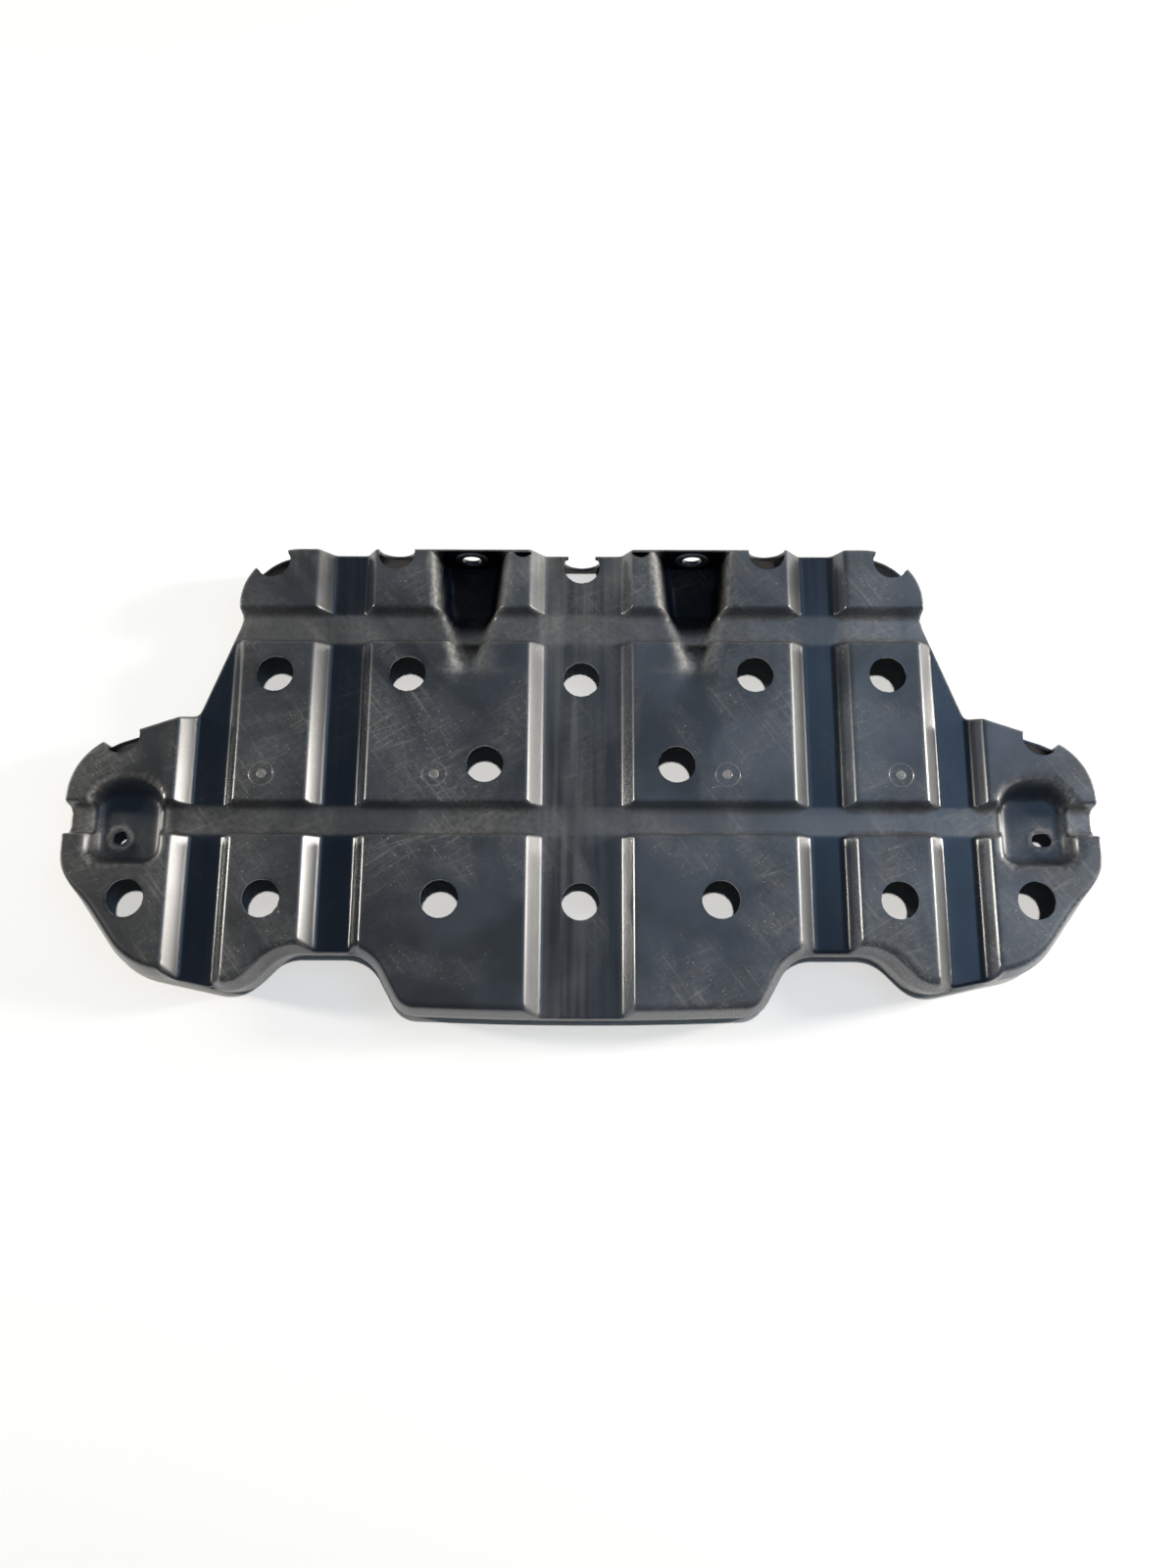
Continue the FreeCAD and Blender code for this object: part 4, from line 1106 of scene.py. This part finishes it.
# %% A pale floor that fades to white
REACH = 6.0  # metres from the middle to each side of the floor
FADE_FROM, FADE_TO = 0.7, 1.3  # metres from the middle
JUST_BELOW = -0.0004  # keeps the floor clear of the rim that stands on it
floor_mesh = bpy.data.meshes.new("floor")
floor_corners = [(-REACH, -REACH, 0), (REACH, -REACH, 0), (REACH, REACH, 0), (-REACH, REACH, 0)]
floor_mesh.from_pydata(floor_corners, [], [(0, 1, 2, 3)])
floor = bpy.data.objects.new("floor", floor_mesh)
floor.location.z = JUST_BELOW
bpy.context.scene.collection.objects.link(floor)
pale = bpy.data.materials.new("pale_floor")
pale.use_nodes = True
floor_tree = pale.node_tree
near_floor = floor_tree.nodes["Principled BSDF"]
near_floor.inputs["Base Color"].default_value = (0.96, 0.94, 0.91, 1)
near_floor.inputs["Roughness"].default_value = 0.9
near_floor.inputs["Specular IOR Level"].default_value = 0.0
far_floor = node(floor_tree, "ShaderNodeEmission")
length = node(floor_tree, "ShaderNodeVectorMath", operation="LENGTH")
wire(floor_tree, (node(floor_tree, "ShaderNodeTexCoord").outputs["Object"], length.inputs[0]))
seen_directly = node(floor_tree, "ShaderNodeLightPath").outputs["Is Camera Ray"]
far_share = times(floor_tree, remap(floor_tree, length.outputs["Value"], FADE_FROM, FADE_TO), seen_directly)
fade = node(floor_tree, "ShaderNodeMixShader")
wire(floor_tree, (far_share, fade.inputs["Fac"]), (near_floor.outputs[0], fade.inputs[1]),
     (far_floor.outputs[0], fade.inputs[2]),
     (fade.outputs[0], floor_tree.nodes["Material Output"].inputs["Surface"]))
floor_mesh.materials.append(pale)
print("floor", 2 * REACH, "metres wide, nodes", len(floor_tree.nodes))

# %% [markdown]
# ## Light
# In the photograph a broad light from the right draws the bright bands on the walls that face
# it, and a cold sky gives the blue in the shadows. One big soft lamp would make the bands right
# and everything else flat, so four lamps share the work: a low one on the right for the bands,
# a weaker one on the left for the thin lines on the other walls, a wide bluish one for the
# sheen on the right pads, and a small high one for the lit patches in the holes. The high one
# isn't seen in reflections. The camera sees a white world, but its light is a faint sky.

# %% Lamps
def area_lamp(name, place, target, size, power, colour=(1, 1, 1)):
    """A rectangular lamp at a place, turned so that it shines at the target."""
    lamp = bpy.data.lights.new(name, "AREA")
    lamp.shape = "RECTANGLE"
    lamp.size, lamp.size_y = size
    lamp.energy = power
    lamp.color = colour
    item = bpy.data.objects.new(name, lamp)
    item.location = place
    item.rotation_euler = (Vector(target) - Vector(place)).to_track_quat("-Z", "Y").to_euler()
    bpy.context.scene.collection.objects.link(item)
    return item


area_lamp("key_right", (2.40, 0.40, 0.56), (0, 0, 0.03), (0.32, 1.10), 80, (1.0, 0.96, 0.90))
area_lamp("fill_left", (-2.3, 0.25, 0.7), (0, 0, 0), (0.24, 0.5), 33, (1.0, 0.96, 0.88))
area_lamp("glow_right", (1.3, 0.45, 2.2), (0.1, 0, 0), (1.7, 1.3), 7.5, (0.40, 0.64, 1.0))
high = area_lamp("noon", (0.18, 0.15, 3.0), (0, 0, 0), (0.10, 0.10), 58)
high.visible_glossy = False
print("lamps", len(bpy.data.lights))

# %% Sky
world = bpy.data.worlds.new("sky")
bpy.context.scene.world = world
world.use_nodes = True
sky_tree = world.node_tree
sky = sky_tree.nodes["Background"]
sky.inputs["Color"].default_value = (0.70, 0.86, 1.0, 1)
sky.inputs["Strength"].default_value = 0.10
backdrop = node(sky_tree, "ShaderNodeBackground", Color=(1, 1, 1, 1), Strength=1.0)
either = node(sky_tree, "ShaderNodeMixShader")
wire(sky_tree, (node(sky_tree, "ShaderNodeLightPath").outputs["Is Camera Ray"], either.inputs["Fac"]),
     (sky.outputs[0], either.inputs[1]), (backdrop.outputs[0], either.inputs[2]),
     (either.outputs[0], sky_tree.nodes["World Output"].inputs["Surface"]))
print("nodes in the sky", len(sky_tree.nodes))

# %% [markdown]
# ## Camera
# The photograph was taken from about a metre above the panel with a wide lens. Trying views by
# hand never makes all the holes meet theirs in the photograph, so the place and the turn were
# fitted to the pairs of holes on the left and the right. With a lens as long as the sensor is
# wide, the view is 53 degrees across.

# %% Camera above the panel
CAMERA_PLACE = (0.00901, -0.23143, 1.00416)
CAMERA_TURN = (13.08109, 0.12548, 0.19366)  # degrees about X, Y and Z
camera_data = bpy.data.cameras.new("camera")
camera_data.sensor_fit = "HORIZONTAL"
camera_data.sensor_width = 36.0
camera_data.lens = 36.0
camera = bpy.data.objects.new("camera", camera_data)
camera.location = CAMERA_PLACE
camera.rotation_euler = [math.radians(angle) for angle in CAMERA_TURN]
bpy.context.scene.collection.objects.link(camera)
bpy.context.scene.camera = camera
bpy.context.scene.view_settings.view_transform = "Standard"
print("camera at", CAMERA_PLACE)
